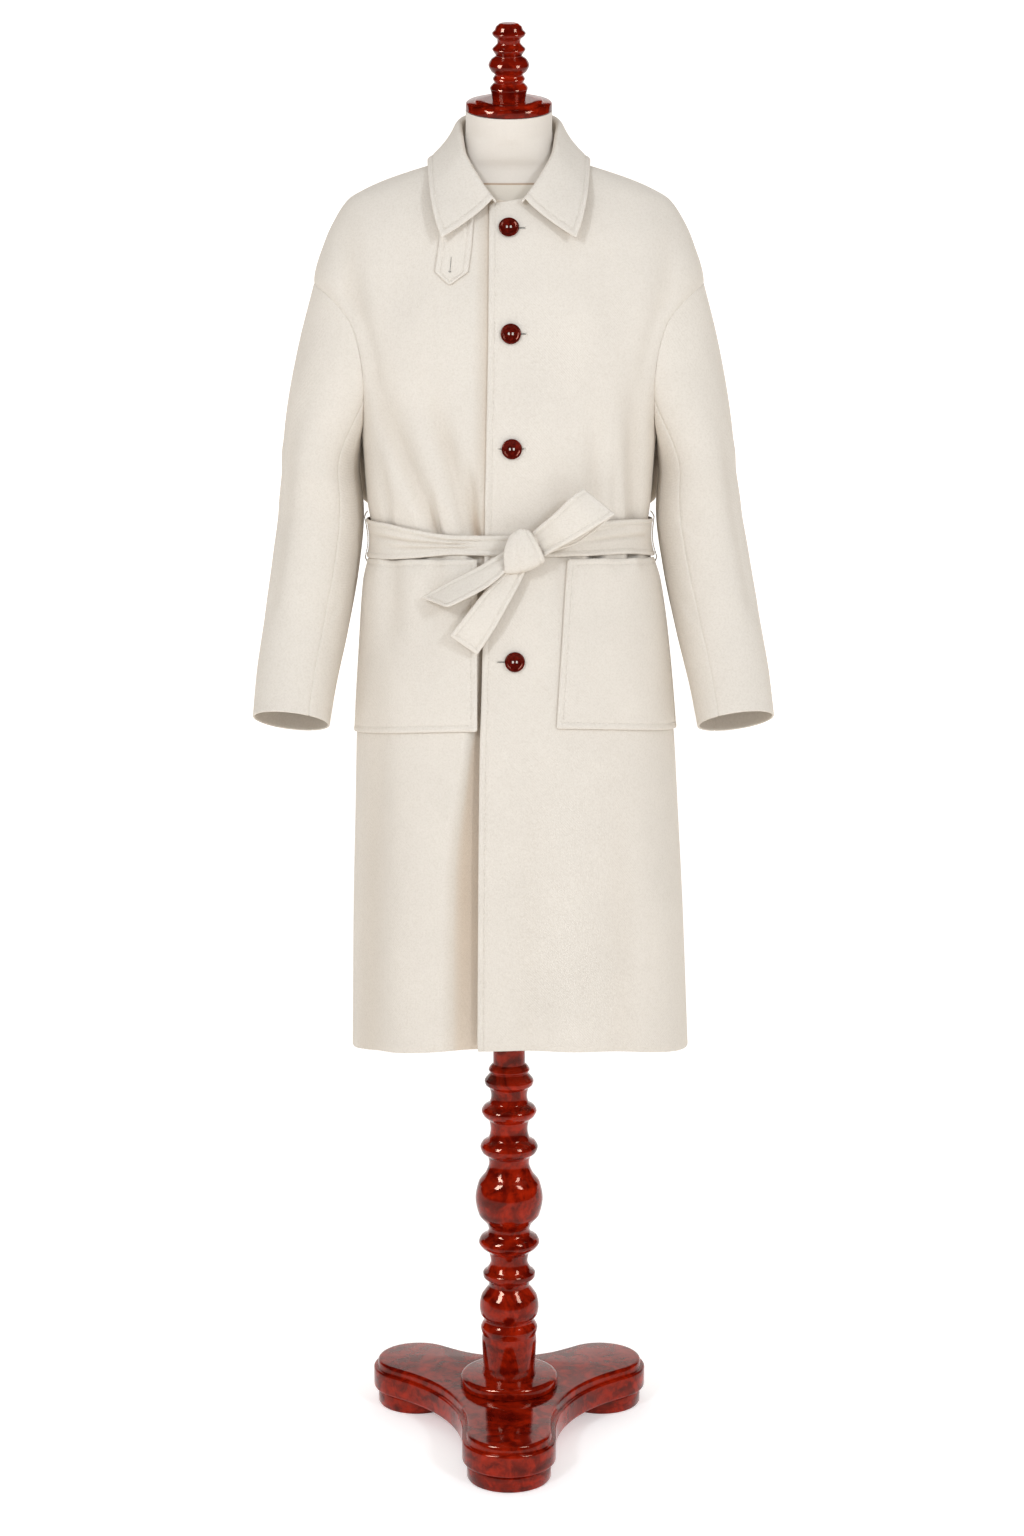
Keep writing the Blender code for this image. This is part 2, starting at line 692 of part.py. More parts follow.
def collar(around, level, offset):
    """The collar: around runs from one front end (-1) past the back (0) to the other (1).

    level runs up the stand to the roll line and down the fall to its edge.
    """
    angle = np.abs(around) * NECK_END_ANGLE
    side = np.where(around < 0, -1.0, 1.0)
    degrees = np.degrees(angle)
    neck_x, neck_z = neckline(angle)
    neck_y = np.where(np.cos(angle) > 0, depth_at(neck_x, neck_z, 1), depth_at(neck_x, neck_z, -1))
    forward = np.maximum(-np.cos(angle), 0)
    rise = COLLAR_RISE_BACK + (COLLAR_RISE_FRONT - COLLAR_RISE_BACK) * forward
    seat_x = neck_x - np.sin(angle) * COLLAR_INSET
    seat_y = neck_y - np.cos(angle) * COLLAR_INSET
    seat = np.stack([seat_x, seat_y, neck_z + rise], -1)
    roll = np.stack([COLLAR.at(degrees, f"roll_{axis}") for axis in "xyz"], -1)
    edge = np.stack([COLLAR.at(degrees, f"edge_{axis}") for axis in "xyz"], -1)
    outward_run = edge - seat
    outward_run[..., 2] = 0
    outward_run = outward_run / np.linalg.norm(outward_run, axis=-1, keepdims=True)
    down = np.array([0, 0, COLLAR_FOLD])
    inner_shoulder = roll - outward_run * COLLAR_FOLD - down
    outer_shoulder = roll + outward_run * COLLAR_FOLD - down
    # The section's five stations, joined by straight runs that the fold rounds
    stations = [seat, inner_shoulder, roll, outer_shoulder, edge]
    places = np.array([0.0, 0.36, 0.42, 0.48, 1.0])
    center = np.zeros(around.shape + (3,))
    for i in range(4):
        t = np.clip((level - places[i]) / (places[i + 1] - places[i]), 0, 1)[..., None]
        inside = ((level >= places[i]) & (level <= places[i + 1]))[..., None]
        center = np.where(inside, stations[i] * (1 - t) + stations[i + 1] * t, center)
    fallen = np.clip((level - places[3]) / (1 - places[3]), 0, 1)[..., None]
    center = center - outward_run * COLLAR_SAG * 4 * fallen * (1 - fallen)
    # The right side faces the neck on the stand, up at the roll line, and out on the fall
    turn = smooth(level, places, np.array([-0.46, -0.42, 0.0, 0.34, 0.40])) * math.pi
    fall_run = edge - roll
    slope = np.linalg.norm(fall_run[..., :2], axis=-1) / np.maximum(-fall_run[..., 2], 1e-6)
    tilt = np.where(level > 0.42, np.arctan(slope) * ramp((level - 0.42) / 0.06), 0.0)
    facing = np.sin(turn - tilt)[..., None] * outward_run
    facing[..., 2] += np.cos(turn - tilt)
    points = center + facing * offset
    points[..., 0] *= side
    return points


def form_ring(angle, height):
    """x and y of the dress form's section at an angle from the front."""
    half_width, lean = FORM.at(height, "half_width"), FORM.at(height, "lean")
    front, back = FORM.at(height, "front"), FORM.at(height, "back")
    sine, cosine = np.sin(angle), np.cos(angle)
    power = 2 / 2.2
    depth = np.where(cosine > 0, -front, back)
    x = half_width * np.sign(sine) * np.abs(sine) ** power
    return x, lean + depth * np.abs(cosine) ** power


def finish(name):
    """The material of one finish, made once."""
    found = bpy.data.materials.get(name)
    if found:
        return found
    colour, roughness, metallic = FINISHES[name]
    material = bpy.data.materials.new(name)
    material.use_nodes = True
    shader = material.node_tree.nodes["Principled BSDF"]
    shader.inputs["Base Color"].default_value = (*colour, 1)
    shader.inputs["Roughness"].default_value = roughness
    shader.inputs["Metallic"].default_value = metallic
    return material


def add_object(name, mesh, material, parent, collection):
    """A named object with its material, under its empty."""
    thing = bpy.data.objects.new(name, mesh)
    thing.data.materials.append(finish(material))
    collection.objects.link(thing)
    thing.parent = parent
    mesh.shade_smooth()
    mesh.set_sharp_from_angle(angle=math.radians(40))
    return thing


def closed_mesh(bm, name):
    """The mesh of a closed body, with its faces outwards."""
    bmesh.ops.recalc_face_normals(bm, faces=bm.faces[:])
    if bm.calc_volume(signed=True) < 0:
        bmesh.ops.reverse_faces(bm, faces=bm.faces[:])
    mesh = bpy.data.meshes.new(name)
    bm.to_mesh(mesh)
    bm.free()
    return mesh


def cloth_wall(name, face, columns, rows, thickness, material, parent, collection):
    """A wall of cloth on a grid: face(u, v, offset) gives its right side at 0 and its wrong side."""
    bm = bmesh.new()
    bmesh.ops.create_grid(bm, x_segments=columns, y_segments=rows, size=0.5)
    bm.verts.ensure_lookup_table()
    flat = np.array([vert.co[:2] for vert in bm.verts])
    low, high = flat.min(0), flat.max(0)
    u, v = ((flat - low) / (high - low)).T
    copied = bmesh.ops.duplicate(bm, geom=bm.verts[:] + bm.edges[:] + bm.faces[:])
    back_of = copied["vert_map"]
    fronts = [vert for vert in bm.verts if vert in back_of][: len(flat)]
    right_side, wrong_side = face(u, v, 0.0), face(u, v, -thickness)
    for vert, right, wrong in zip(fronts, right_side, wrong_side):
        vert.co = right
        back_of[vert].co = wrong
    rims = [edge for edge in bm.edges if edge.is_boundary]
    bmesh.ops.bridge_loops(bm, edges=rims)
    return add_object(name, closed_mesh(bm, name), material, parent, collection)


def ring_wall(name, face, around, rows, thickness, material, parent, collection):
    """A closed band of cloth: face(u, v, offset) with u running once round."""
    bm = bmesh.new()
    loops = []
    turns = np.arange(around) / around
    for offset in (0.0, -thickness):
        for row in range(rows + 1):
            points = face(turns, np.full(around, row / rows), offset)
            verts = [bm.verts.new(point) for point in points]
            loops.append([bm.edges.new((verts[i - 1], verts[i])) for i in range(around)])
    outer, inner = loops[: rows + 1], loops[rows + 1 :][::-1]
    closed = outer + inner
    for first, second in zip(closed, closed[1:] + closed[:1]):
        bmesh.ops.bridge_loops(bm, edges=first + second)
    return add_object(name, closed_mesh(bm, name), material, parent, collection)


def turned(name, profile, steps, material, parent, collection):
    """A turned piece: a profile of heights and radii, swept by a Screw modifier."""
    bottom, top = profile[0][0], profile[-1][0]
    outline = [(0.0, top)] + [(radius, height) for height, radius in reversed(profile)] + [(0.0, bottom)]
    bm = bmesh.new()
    verts = [bm.verts.new((radius, 0, height)) for radius, height in outline]
    for first, second in zip(verts, verts[1:]):
        bm.edges.new((first, second))
    mesh = bpy.data.meshes.new(name)
    bm.to_mesh(mesh)
    bm.free()
    piece = add_object(name, mesh, material, parent, collection)
    sweep = piece.modifiers.new("turning", "SCREW")
    sweep.steps = sweep.render_steps = steps
    sweep.use_merge_vertices = True
    sweep.merge_threshold = 1e-5
    sweep.use_smooth_shade = True
    return piece


def leg_outline(inset):
    """The tripod plate's outline: three round leg ends joined by hollow arcs."""
    legs = [math.radians(angle) for angle in LEG_ANGLES]
    radius = LEG_END_RADIUS - inset
    points = []
    for leg, following in zip(legs, legs[1:] + [legs[0] + 2 * math.pi]):
        end = Vector((math.cos(leg), math.sin(leg))) * LEG_REACH
        for turn in np.linspace(leg - math.pi / 2, leg + math.pi / 2, 11):
            points.append(end + Vector((math.cos(turn), math.sin(turn))) * radius)
        half_gap = (following - leg) / 2
        middle = leg + half_gap
        reach = LEG_STRAIGHT_FROM * LEG_REACH / math.cos(half_gap)
        hollow = Vector((math.cos(middle), math.sin(middle))) * reach
        hollow_radius = reach * math.sin(half_gap) - radius
        for turn in np.linspace(leg - math.pi / 2, following - math.pi * 1.5, 9):
            points.append(hollow + Vector((math.cos(turn), math.sin(turn))) * hollow_radius)
    return points


def stacked(name, outlines, material, parent, collection):
    """A solid between like outlines at rising heights, closed at both ends."""
    bm = bmesh.new()
    loops = []
    for points, height in outlines:
        verts = [bm.verts.new((p[0], p[1], height)) for p in points]
        loops.append([bm.edges.new((verts[i - 1], verts[i])) for i in range(len(verts))])
    for first, second in zip(loops, loops[1:]):
        bmesh.ops.bridge_loops(bm, edges=first + second)
    for end in (loops[0], loops[-1]):
        bmesh.ops.contextual_create(bm, geom=end)
    return add_object(name, closed_mesh(bm, name), material, parent, collection)


def build_body(parent, collection):
    """The two fronts and the back."""
    columns, rows = 12, PANEL_ROWS

    def left(u, v, offset):
        return panel(u, v, -1, 1, left_edge, offset)

    def right(u, v, offset):
        return panel(u, v, -1, -1, right_edge, offset)

    def back(u, v, offset):
        share = 2 * u - 1
        near = panel(np.abs(share), v, 1, 1, left_edge, offset)
        near[..., 0] = np.where(share < 0, 2 * body_shift(near) - near[..., 0], near[..., 0])
        return near

    cloth_wall("front_left", left, columns, rows, CLOTH, "wool", parent, collection)
    cloth_wall("front_right", right, columns, rows, CLOTH, "wool", parent, collection)
    cloth_wall("back", back, 16, rows, CLOTH, "wool", parent, collection)


def body_shift(points):
    """The body's sideways shift at each point's height."""
    return BODY.at(points[..., 2], "shift")


def build_sleeves(parent, collection):
    """Each sleeve is a top piece and an under piece."""
    for name, side in (("left", 1), ("right", -1)):
        for piece, half_columns in (("top", UPPER_ROWS - SLEEVE_SEAM_ROW), ("under", SLEEVE_SEAM_ROW)):

            def face(u, v, offset, piece=piece, side=side):
                return sleeve(sleeve_turn(2 * u - 1, piece), v, side, offset)

            wall = f"sleeve_{name}_{piece}"
            cloth_wall(wall, face, 2 * half_columns, SLEEVE_ROWS, CLOTH, "wool", parent, collection)


def build_collar(parent, collection):
    """The collar, stand and fall in one piece, and the throat tab under its right end."""

    def face(u, v, offset):
        return collar(2 * u - 1, v, offset + CLOTH / 2)

    cloth_wall("collar", face, 26, 8, CLOTH, "wool", parent, collection)

    tab = Sections(TAB_COLUMNS, TAB[::-1])

    def tab_face(u, v, offset):
        height = tab.keys[0] + (tab.keys[-1] - tab.keys[0]) * v**1.5
        x = tab.at(height, "middle") + tab.at(height, "half_width") * (2 * u - 1)
        y = depth_at(x, height, -1)
        return body_points(x, y, height, -1, offset + TAB_LIFT + CLOTH)

    cloth_wall("throat_tab", tab_face, 4, 8, CLOTH, "wool", parent, collection)


def build_pockets(parent, collection):
    """A patch pocket on each front."""
    for name, row in POCKETS.items():
        size = dict(zip(POCKET_COLUMNS, row))
        side = size["side"]

        def face(u, v, offset, size=size, side=side):
            height = size["foot"] + (size["top"] - size["foot"]) * v
            inner_x = size["inner_foot"] + (size["inner_top"] - size["inner_foot"]) * v
            begin = ring_angle(side * inner_x, height) * side
            angle = begin + (math.radians(size["outer_angle"]) - begin) * u
            x, y = ring_point(side * angle, height)
            return body_points(x, y, height, -1, offset + POCKET_LIFT + CLOTH)

        cloth_wall(name, face, 8, 8, CLOTH, "wool", parent, collection)


def band_face(rows, thickness):
    """The face of a flat band that follows a short table of stations."""
    shares = np.linspace(0, 1, len(rows))
    stations = Sections(("share",) + BAND_COLUMNS, np.column_stack([shares, rows]))

    def face(u, v, offset):
        place = np.stack([stations.at(v, axis) for axis in "xyz"], -1)
        width = np.stack([stations.at(v, f"width_{axis}") for axis in "xyz"], -1)
        width = width / np.linalg.norm(width, axis=-1, keepdims=True)
        step = 0.02
        ahead = np.stack([stations.at(v + step, axis) - stations.at(v - step, axis) for axis in "xyz"], -1)
        facing = np.cross(ahead, width)
        facing = facing / np.linalg.norm(facing, axis=-1, keepdims=True)
        facing = np.where(facing[..., 1:2] > 0, -facing, facing)
        across = (stations.at(v, "half_width") * (2 * u - 1))[..., None]
        return place + width * across + facing * (offset + thickness / 2)

    return face


def build_belt(parent, collection):
    """The belt round the waist, its knot, bow and two tails, and the thread loops that carry it."""

    def face(u, v, offset):
        angle = (u - 0.5) * 2 * math.pi
        degrees = np.degrees(angle)
        height = BELT.at(degrees, "bottom") + (BELT.at(degrees, "top") - BELT.at(degrees, "bottom")) * v
        x, y = ring_point(angle, height)
        points = np.stack([x, y, height], -1)
        return points + outward(x, y, height) * (offset + BELT_LIFT + BELT_CLOTH)

    ring_wall("belt_band", face, 44, 3, BELT_CLOTH, "wool", parent, collection)
    for name, rows in (("belt_tail_upper", TAIL_UPPER), ("belt_tail_lower", TAIL_LOWER)):
        cloth_wall(name, band_face(rows, BELT_CLOTH), 2, 6, BELT_CLOTH, "wool", parent, collection)
    for name, rows in (("belt_bow_front", BOW_FRONT), ("belt_bow_back", BOW_BACK)):
        cloth_wall(name, band_face(rows, BELT_CLOTH), 2, 6, BELT_CLOTH, "wool", parent, collection)

    bm = bmesh.new()
    bmesh.ops.create_uvsphere(bm, u_segments=16, v_segments=10, radius=1)
    for vert in bm.verts:
        squared = Vector([math.copysign(abs(c) ** 0.8, c) for c in vert.co])
        vert.co = Vector([c * s for c, s in zip(squared, KNOT_HALF_SIZE)])
    mesh = bpy.data.meshes.new("belt_knot")
    bm.to_mesh(mesh)
    bm.free()
    knot = add_object("belt_knot", mesh, "wool", parent, collection)
    knot.location = KNOT_CENTRE
    knot.rotation_euler = (0, KNOT_LEAN, 0)

    for name, side in (("left", 1), ("right", -1)):
        reach = BELT_LIFT + BELT_CLOTH + THREAD_RADIUS + 0.0009
        path_out = (
            (1.194, 0.0018),
            (1.190, 0.0045),
            (1.184, reach),
            (1.158, reach),
            (1.128, reach),
            (1.123, 0.0045),
            (1.119, 0.0018),
        )
        curve = bpy.data.curves.new(f"belt_carrier_{name}", "CURVE")
        curve.dimensions = "3D"
        curve.bevel_depth = THREAD_RADIUS
        curve.bevel_resolution = 2
        curve.use_fill_caps = True
        path = curve.splines.new("POLY")
        path.points.add(len(path_out) - 1)
        for point, (height, out) in zip(path.points, path_out):
            x, y = ring_point(np.array(side * math.radians(88)), np.array(height))
            normal = outward(x, y, np.array(height))
            point.co = (*(np.array([x, y, height]) + normal * out), 1)
        thing = bpy.data.objects.new(f"belt_carrier_{name}", curve)
        curve.materials.append(finish("thread"))
        collection.objects.link(thing)
        thing.parent = parent


def build_buttons(parent, collection):
    """Turned buttons down the left front."""
    for i, (x, height) in enumerate(BUTTONS):
        at = np.array([x]), np.array([height])
        y = depth_at(*at, -1)
        normal = Vector(outward(at[0], y, at[1])[0])
        place = Vector(body_points(at[0], y, at[1], -1, BUTTON_LIFT)[0])
        button = turned(f"button_{i + 1}", BUTTON_PROFILE, 18, "button", parent, collection)
        button.rotation_euler = normal.to_track_quat("Z", "Y").to_euler()
        button.location = place


def build_form(parent, collection):
    """The limbless dress form with its neck, the neck cap and the finial."""
    around = 24
    angles = np.arange(around) / around * 2 * math.pi
    levels = np.concatenate([FORM.keys[:2], np.linspace(0.86, 1.48, 9), FORM.keys[8:]])
    tilt = Matrix.Rotation(NECK_TILT, 4, "X")
    bm = bmesh.new()
    loops = []
    rings = []
    for height in levels:
        x, y = form_ring(angles, np.full(around, height))
        rings.append(np.stack([x, y, np.full(around, height)], -1))
    for sink in (0.024, 0.004, 0.0003):
        ring = [FORM_NECK_RADIUS * Vector((math.sin(a), -math.cos(a), 0)) for a in angles]
        rings.append(np.array([CAP_CENTRE + tilt @ (point - Vector((0, 0, sink))) for point in ring]))
    for ring in rings:
        verts = [bm.verts.new(point) for point in ring]
        loops.append([bm.edges.new((verts[i - 1], verts[i])) for i in range(around)])
    for first, second in zip(loops, loops[1:]):
        bmesh.ops.bridge_loops(bm, edges=first + second)
    for end in (loops[0], loops[-1]):
        bmesh.ops.contextual_create(bm, geom=end)
    add_object("dress_form", closed_mesh(bm, "dress_form"), "form_cover", parent, collection)

    cap = turned("neck_cap", CAP_PROFILE, 24, "lacquer", parent, collection)
    cap.location = CAP_CENTRE
    cap.rotation_euler = (NECK_TILT, 0, 0)
    finial = turned("finial", FINIAL_PROFILE, 16, "lacquer", parent, collection)
    finial.location = CAP_CENTRE + tilt @ Vector((0, 0, FINIAL_SEAT))
    finial.rotation_euler = (NECK_TILT, 0, 0)


def build_stand(parent, collection):
    """The turned post, its plinth, the tripod plate and three feet."""
    profile = POST_PROFILE + ((FORM_BOTTOM - SEAM, SHAFT_RADIUS),)
    turned("stand_post", profile, 14, "lacquer", parent, collection)
    plinth = (
        (PLATE_TOP + SEAM, PLINTH_RADIUS - 0.001),
        (PLATE_TOP + 0.0015, PLINTH_RADIUS),
        (PLINTH_TOP - 0.003, PLINTH_RADIUS),
        (PLINTH_TOP, PLINTH_RADIUS - 0.004),
    )
    turned("stand_plinth", plinth, 28, "lacquer", parent, collection)
    outlines = [(leg_outline(inset), height) for inset, height in PLATE_LAYERS]
    stacked("stand_base", outlines, "lacquer", parent, collection)
    foot = (
        (0.0, FOOT_RADIUS - 0.003),
        (0.003, FOOT_RADIUS),
        (0.019, FOOT_RADIUS),
        (PLATE_BOTTOM - SEAM, FOOT_RADIUS - 0.003),
    )
    for i, angle in enumerate(math.radians(degrees) for degrees in LEG_ANGLES):
        piece = turned(f"stand_foot_{i + 1}", foot, 20, "lacquer", parent, collection)
        piece.location = Vector((math.cos(angle), math.sin(angle), 0)) * LEG_REACH


def main():
    for thing in list(bpy.data.objects):
        bpy.data.objects.remove(thing)
    collection = bpy.data.collections.new("coat_on_dress_form")
    bpy.context.scene.collection.children.link(collection)
    parent = bpy.data.objects.new("frame", None)
    parent.location = FRAME_SHIFT
    collection.objects.link(parent)
    build_body(parent, collection)
    build_sleeves(parent, collection)
    build_collar(parent, collection)
    build_pockets(parent, collection)
    build_belt(parent, collection)
    build_buttons(parent, collection)
    build_form(parent, collection)
    build_stand(parent, collection)


main()
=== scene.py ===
"""A belted wool coat on a turned dress-form stand, built as a visual model on its packed frame.

Metres, +Z up. The coat faces -Y.
"""

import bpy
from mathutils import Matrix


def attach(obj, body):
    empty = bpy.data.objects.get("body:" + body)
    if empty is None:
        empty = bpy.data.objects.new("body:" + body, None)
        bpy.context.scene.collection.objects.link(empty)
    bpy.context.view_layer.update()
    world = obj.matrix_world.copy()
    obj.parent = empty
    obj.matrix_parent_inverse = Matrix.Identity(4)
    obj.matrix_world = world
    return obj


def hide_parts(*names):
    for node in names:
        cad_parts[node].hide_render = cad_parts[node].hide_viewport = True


bl_info = {
    "name": "Belted Coat on a Dress Form",
    "version": (1, 0, 0),
    "blender": (4, 5, 0),
    "location": "3D View > Sidebar > Coat",
    "description": "Builds the coat, its belt and buttons, the dress form, its stand and the stage",
    "category": "Object",
}

from math import cos, pi, radians, sin

import bmesh
import bpy
import numpy as np
from mathutils import Matrix, Vector

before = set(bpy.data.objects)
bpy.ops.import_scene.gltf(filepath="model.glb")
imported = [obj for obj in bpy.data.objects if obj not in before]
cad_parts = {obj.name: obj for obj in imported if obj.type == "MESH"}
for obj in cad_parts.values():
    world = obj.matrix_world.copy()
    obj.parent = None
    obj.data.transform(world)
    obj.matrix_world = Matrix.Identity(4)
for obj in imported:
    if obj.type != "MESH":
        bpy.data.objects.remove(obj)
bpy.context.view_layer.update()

# Driving dimensions of the coat, the form and the stand, as the frame's solids have them
CLOTH = 0.0025
SEAM = 0.0003
SQUARENESS, FORM_SQUARENESS = 2.35, 2.2
UNDERARM = 1.280
SHOULDER_DROP = 1.464
NECK_POINT = 1.608
NECK_HALF_WIDTH = 0.0765
NECK_FRONT_DROP = 0.056
NECK_BACK_RISE = 0.006
NECK_END_ANGLE = radians(166.4)
FRAME_SHIFT = Vector((-0.0054, 0.0306, 0))
BUTTON_RADIUS = 0.012
BUTTON_LIFT = 0.0007
TAB_LIFT = 0.0009
POCKET_LIFT = 0.0013
BELT_LIFT = 0.0018
NECK_TILT = radians(17)
CAP_CENTRE = Vector((0, -0.030, 1.6665))
FORM_BOTTOM = 0.800
LEG_REACH = 0.152
LEG_END_RADIUS = 0.0585
LEG_STRAIGHT_FROM = 0.85
LEG_ANGLES = (-90, 37, 143)
PLATE_BOTTOM, PLATE_TOP = 0.0223, 0.060
FOOT_RADIUS = 0.0525
PLINTH_RADIUS, PLINTH_TOP = 0.063, 0.0745
SHAFT_RADIUS = 0.0203


class Sections:
    """A short table with named columns, read as smooth curves over its first column."""

    def __init__(self, columns, *rows):
        self.keys, *values = np.array(rows, float).T.copy()
        self.values = dict(zip(columns.split()[1:], values))

    def at(self, key, name):
        return smooth(key, self.keys, self.values[name])

    def points(self, key, prefix=""):
        """Three columns that end in x, y and z, as points."""
        return np.stack([self.at(key, prefix + axis) for axis in "xyz"], -1)


def smooth(at, keys, values):
    """A curve through the values that doesn't overshoot between two rows."""
    at = np.clip(np.asarray(at, float), keys[0], keys[-1])
    steps = np.diff(keys)
    slopes = np.diff(values) / steps
    before, after = slopes[:-1], slopes[1:]
    turning = before * after <= 0
    total = np.where(turning, 1.0, before + after)
    inner = np.where(turning, 0.0, 2 * before * after / total)
    tangents = np.concatenate([slopes[:1], inner, slopes[-1:]])
    i = np.clip(np.searchsorted(keys, at) - 1, 0, len(keys) - 2)
    t = (at - keys[i]) / steps[i]
    return hermite(t, values[i], tangents[i] * steps[i], tangents[i + 1] * steps[i], values[i + 1])


def hermite(t, start, leave, arrive, end):
    """A curve from start to end that leaves and arrives along these tangents."""
    rest = 1 - t
    first = start * rest * rest * (1 + 2 * t) + leave * t * rest * rest
    return first - arrive * t * t * rest + end * t * t * (3 - 2 * t)


def ramp(value):
    """0 below 0 and 1 above 1, with a soft start and end."""
    value = np.clip(value, 0, 1)
    return value * value * (3 - 2 * value)


def bell(distance, width):
    """1 at no distance, falling off softly over this width."""
    return np.exp(-((distance / width) ** 2))


def unit(vectors):
    return vectors / np.maximum(np.linalg.norm(vectors, axis=-1, keepdims=True), 1e-12)


# The coat's body, hem to neck: half width, depth in front and behind, sideways shift and lean
BODY = Sections(
    "height half_width front back shift lean",
    (0.518, 0.2121, 0.14, 0.14, 0.014, 0.0),
    (0.7, 0.2065, 0.14, 0.136, 0.0113, 0.0),
    (0.827, 0.2009, 0.139, 0.133, 0.0094, 0.0),
    (0.903, 0.1977, 0.138, 0.13, 0.0081, 0.0),
    (1.029, 0.1884, 0.132, 0.122, 0.0062, 0.0),
    (1.103, 0.1803, 0.125, 0.114, 0.0037, 0.0),
    (1.156, 0.168, 0.117, 0.106, 0.0015, 0.0),
    (1.2, 0.1735, 0.123, 0.112, 0.0, 0.0),
    (1.28, 0.18, 0.13, 0.12, 0.0, 0.0),
    (1.4, 0.217, 0.126, 0.125, 0.0, 0.0),
    (1.464, 0.236, 0.117, 0.124, 0.0, 0.0),
    (1.515, 0.2215, 0.103, 0.118, 0.0, -0.003),
    (1.539, 0.2104, 0.091, 0.113, 0.0, -0.005),
    (1.563, 0.1932, 0.075, 0.106, 0.0, -0.008),
    (1.575, 0.1732, 0.068, 0.101, 0.0, -0.009),
    (1.586, 0.1478, 0.061, 0.096, 0.0, -0.01),
    (1.595, 0.1212, 0.056, 0.091, 0.0, -0.011),
    (1.603, 0.0946, 0.05, 0.086, 0.0, -0.012),
    (1.608, 0.0765, 0.046, 0.082, 0.0, -0.012),
    (1.62, 0.05, 0.04, 0.076, 0.0, -0.012),
)

# Where the left front's edge lies, how deep the right front dips under it, and how wide that dip is
CLOSING = Sections(
    "height edge dip dip_width",
    (0.518, -0.0377, 0.0115, 0.056), (0.75, -0.036, 0.013, 0.05),
    (0.9, -0.034, 0.0125, 0.024), (0.96, -0.032, 0.011, 0.013),
    (1.1, -0.029, 0.01, 0.012), (1.156, -0.028, 0.0029, 0.014),
    (1.27, -0.0259, 0.0029, 0.022), (1.403, -0.0234, 0.0029, 0.022),
    (1.552, -0.0223, 0.0029, 0.018),
)
UNDERLAP = 0.052

# The panels' rows: heights up to the underarm, and how many more there are above it
LOWER_ROWS = (
    0.518, 0.6, 0.69, 0.78, 0.86, 0.93, 0.99, 1.045, 1.09, 1.12,
    1.14, 1.156, 1.174, 1.196, 1.228, 1.28,
)
UPPER_ROWS = 11
PANEL_ROWS = len(LOWER_ROWS) - 1 + UPPER_ROWS
LOWER_PART = (len(LOWER_ROWS) - 1) / PANEL_ROWS
RISE_POWER = 1.25
SLEEVE_SEAM_ROW = 3
# The cloth's own finer rows: how many below the waist, over it and above the underarm
WAIST_FROM, SKIRT_LINES, WAIST_LINES, UPPER_LINES, SHOULDER_CLOSE = 1.09, 60, 56, 66, 1.9
# Shares of a panel's top edge that lie on the neckline, and over which a front's end slips to its edge
NECK_SHARE_FRONT, NECK_SHARE_BACK, NECK_SLIP = 0.42, 0.36, 0.14
# The right front's columns that follow its dip, as parts of its width
DIP_COLUMNS = ((1 / 12, -0.15), (2 / 12, 0.5), (3 / 12, 1.0))

# How far the front hangs above the sides
LIFT = Sections(
    "height lift",
    (0.518, 0.024), (0.92, 0.016), (1.103, 0.011), (1.156, 0.002), (1.2, 0.0), (1.62, 0.0),
)

# The front half of the armhole: how far out its seam lies
ARMHOLE = Sections(
    "height out",
    (1.28, 0.18), (1.3, 0.175), (1.34, 0.1735), (1.367, 0.1755), (1.39, 0.18),
    (1.416, 0.189), (1.44, 0.208), (1.464, 0.236),
)

# The sleeve below the armhole: distance out, forward place, half width and half depth of each ring
SLEEVE = Sections(
    "height out forward half_width half_depth",
    (0.938, 0.27, -0.07, 0.0465, 0.045),
    (0.985, 0.264, -0.051, 0.0485, 0.049),
    (1.053, 0.2515, -0.025, 0.051, 0.056),
    (1.13, 0.2385, -0.005, 0.0525, 0.063),
    (1.19, 0.231, 0.004, 0.0515, 0.069),
    (1.235, 0.23, 0.006, 0.047, 0.073),
)
SLEEVE_SHIFT = Sections("height shift", (0.938, 0.0055), (1.13, 0.0025), (1.235, 0.0))
SLEEVE_CAP_PART = 4 / 13
SLEEVE_CAP_LEAVE = (0.25, -0.97)
SLEEVE_SEAM_GAP = 0.0006
SLEEVE_HEAD_SWELL, SLEEVE_HEAD_FADE, SLEEVE_FOLD_FADE = 0.0012, 0.1, 0.07
ARMHOLE_GAP = 0.0002

# The collar round the neck, back (0) to front end: its roll line and the edge of its fall
COLLAR = Sections(
    "angle roll_x roll_y roll_z edge_x edge_y edge_z",
    (0.0, 0.0, 0.054, 1.67, 0.0, 0.102, 1.608),
    (45.0, 0.045, 0.038, 1.667, 0.077, 0.066, 1.611),
    (90.0, 0.06, -0.008, 1.654, 0.0965, -0.018, 1.6095),
    (125.0, 0.055, -0.056, 1.621, 0.0925, -0.086, 1.572),
    (150.0, 0.0365, -0.086, 1.585, 0.0855, -0.111, 1.537),
    (166.4, 0.019, -0.1, 1.56, 0.0778, -0.122, 1.514),
)
COLLAR_FOLD = 0.0042
COLLAR_SAG = 0.004
COLLAR_INSET = 0.0018
# How far the edge of its fall hangs down behind the neck
COLLAR_DROOP = Sections(
    "angle droop", (0, 0.014), (25, 0.013), (50, 0.009), (75, 0.003), (95, 0.0), (167, 0.0)
)
COLLAR_RISE_BACK, COLLAR_RISE_FRONT = 0.0006, 0.0056
# Up the stand, over the roll line and down the fall: each station's level, and where its right side faces
COLLAR_LEVELS = np.array([0.0, 0.36, 0.42, 0.48, 1.0])
COLLAR_FACING = np.array([-0.46, -0.42, 0.0, 0.34, 0.4]) * pi

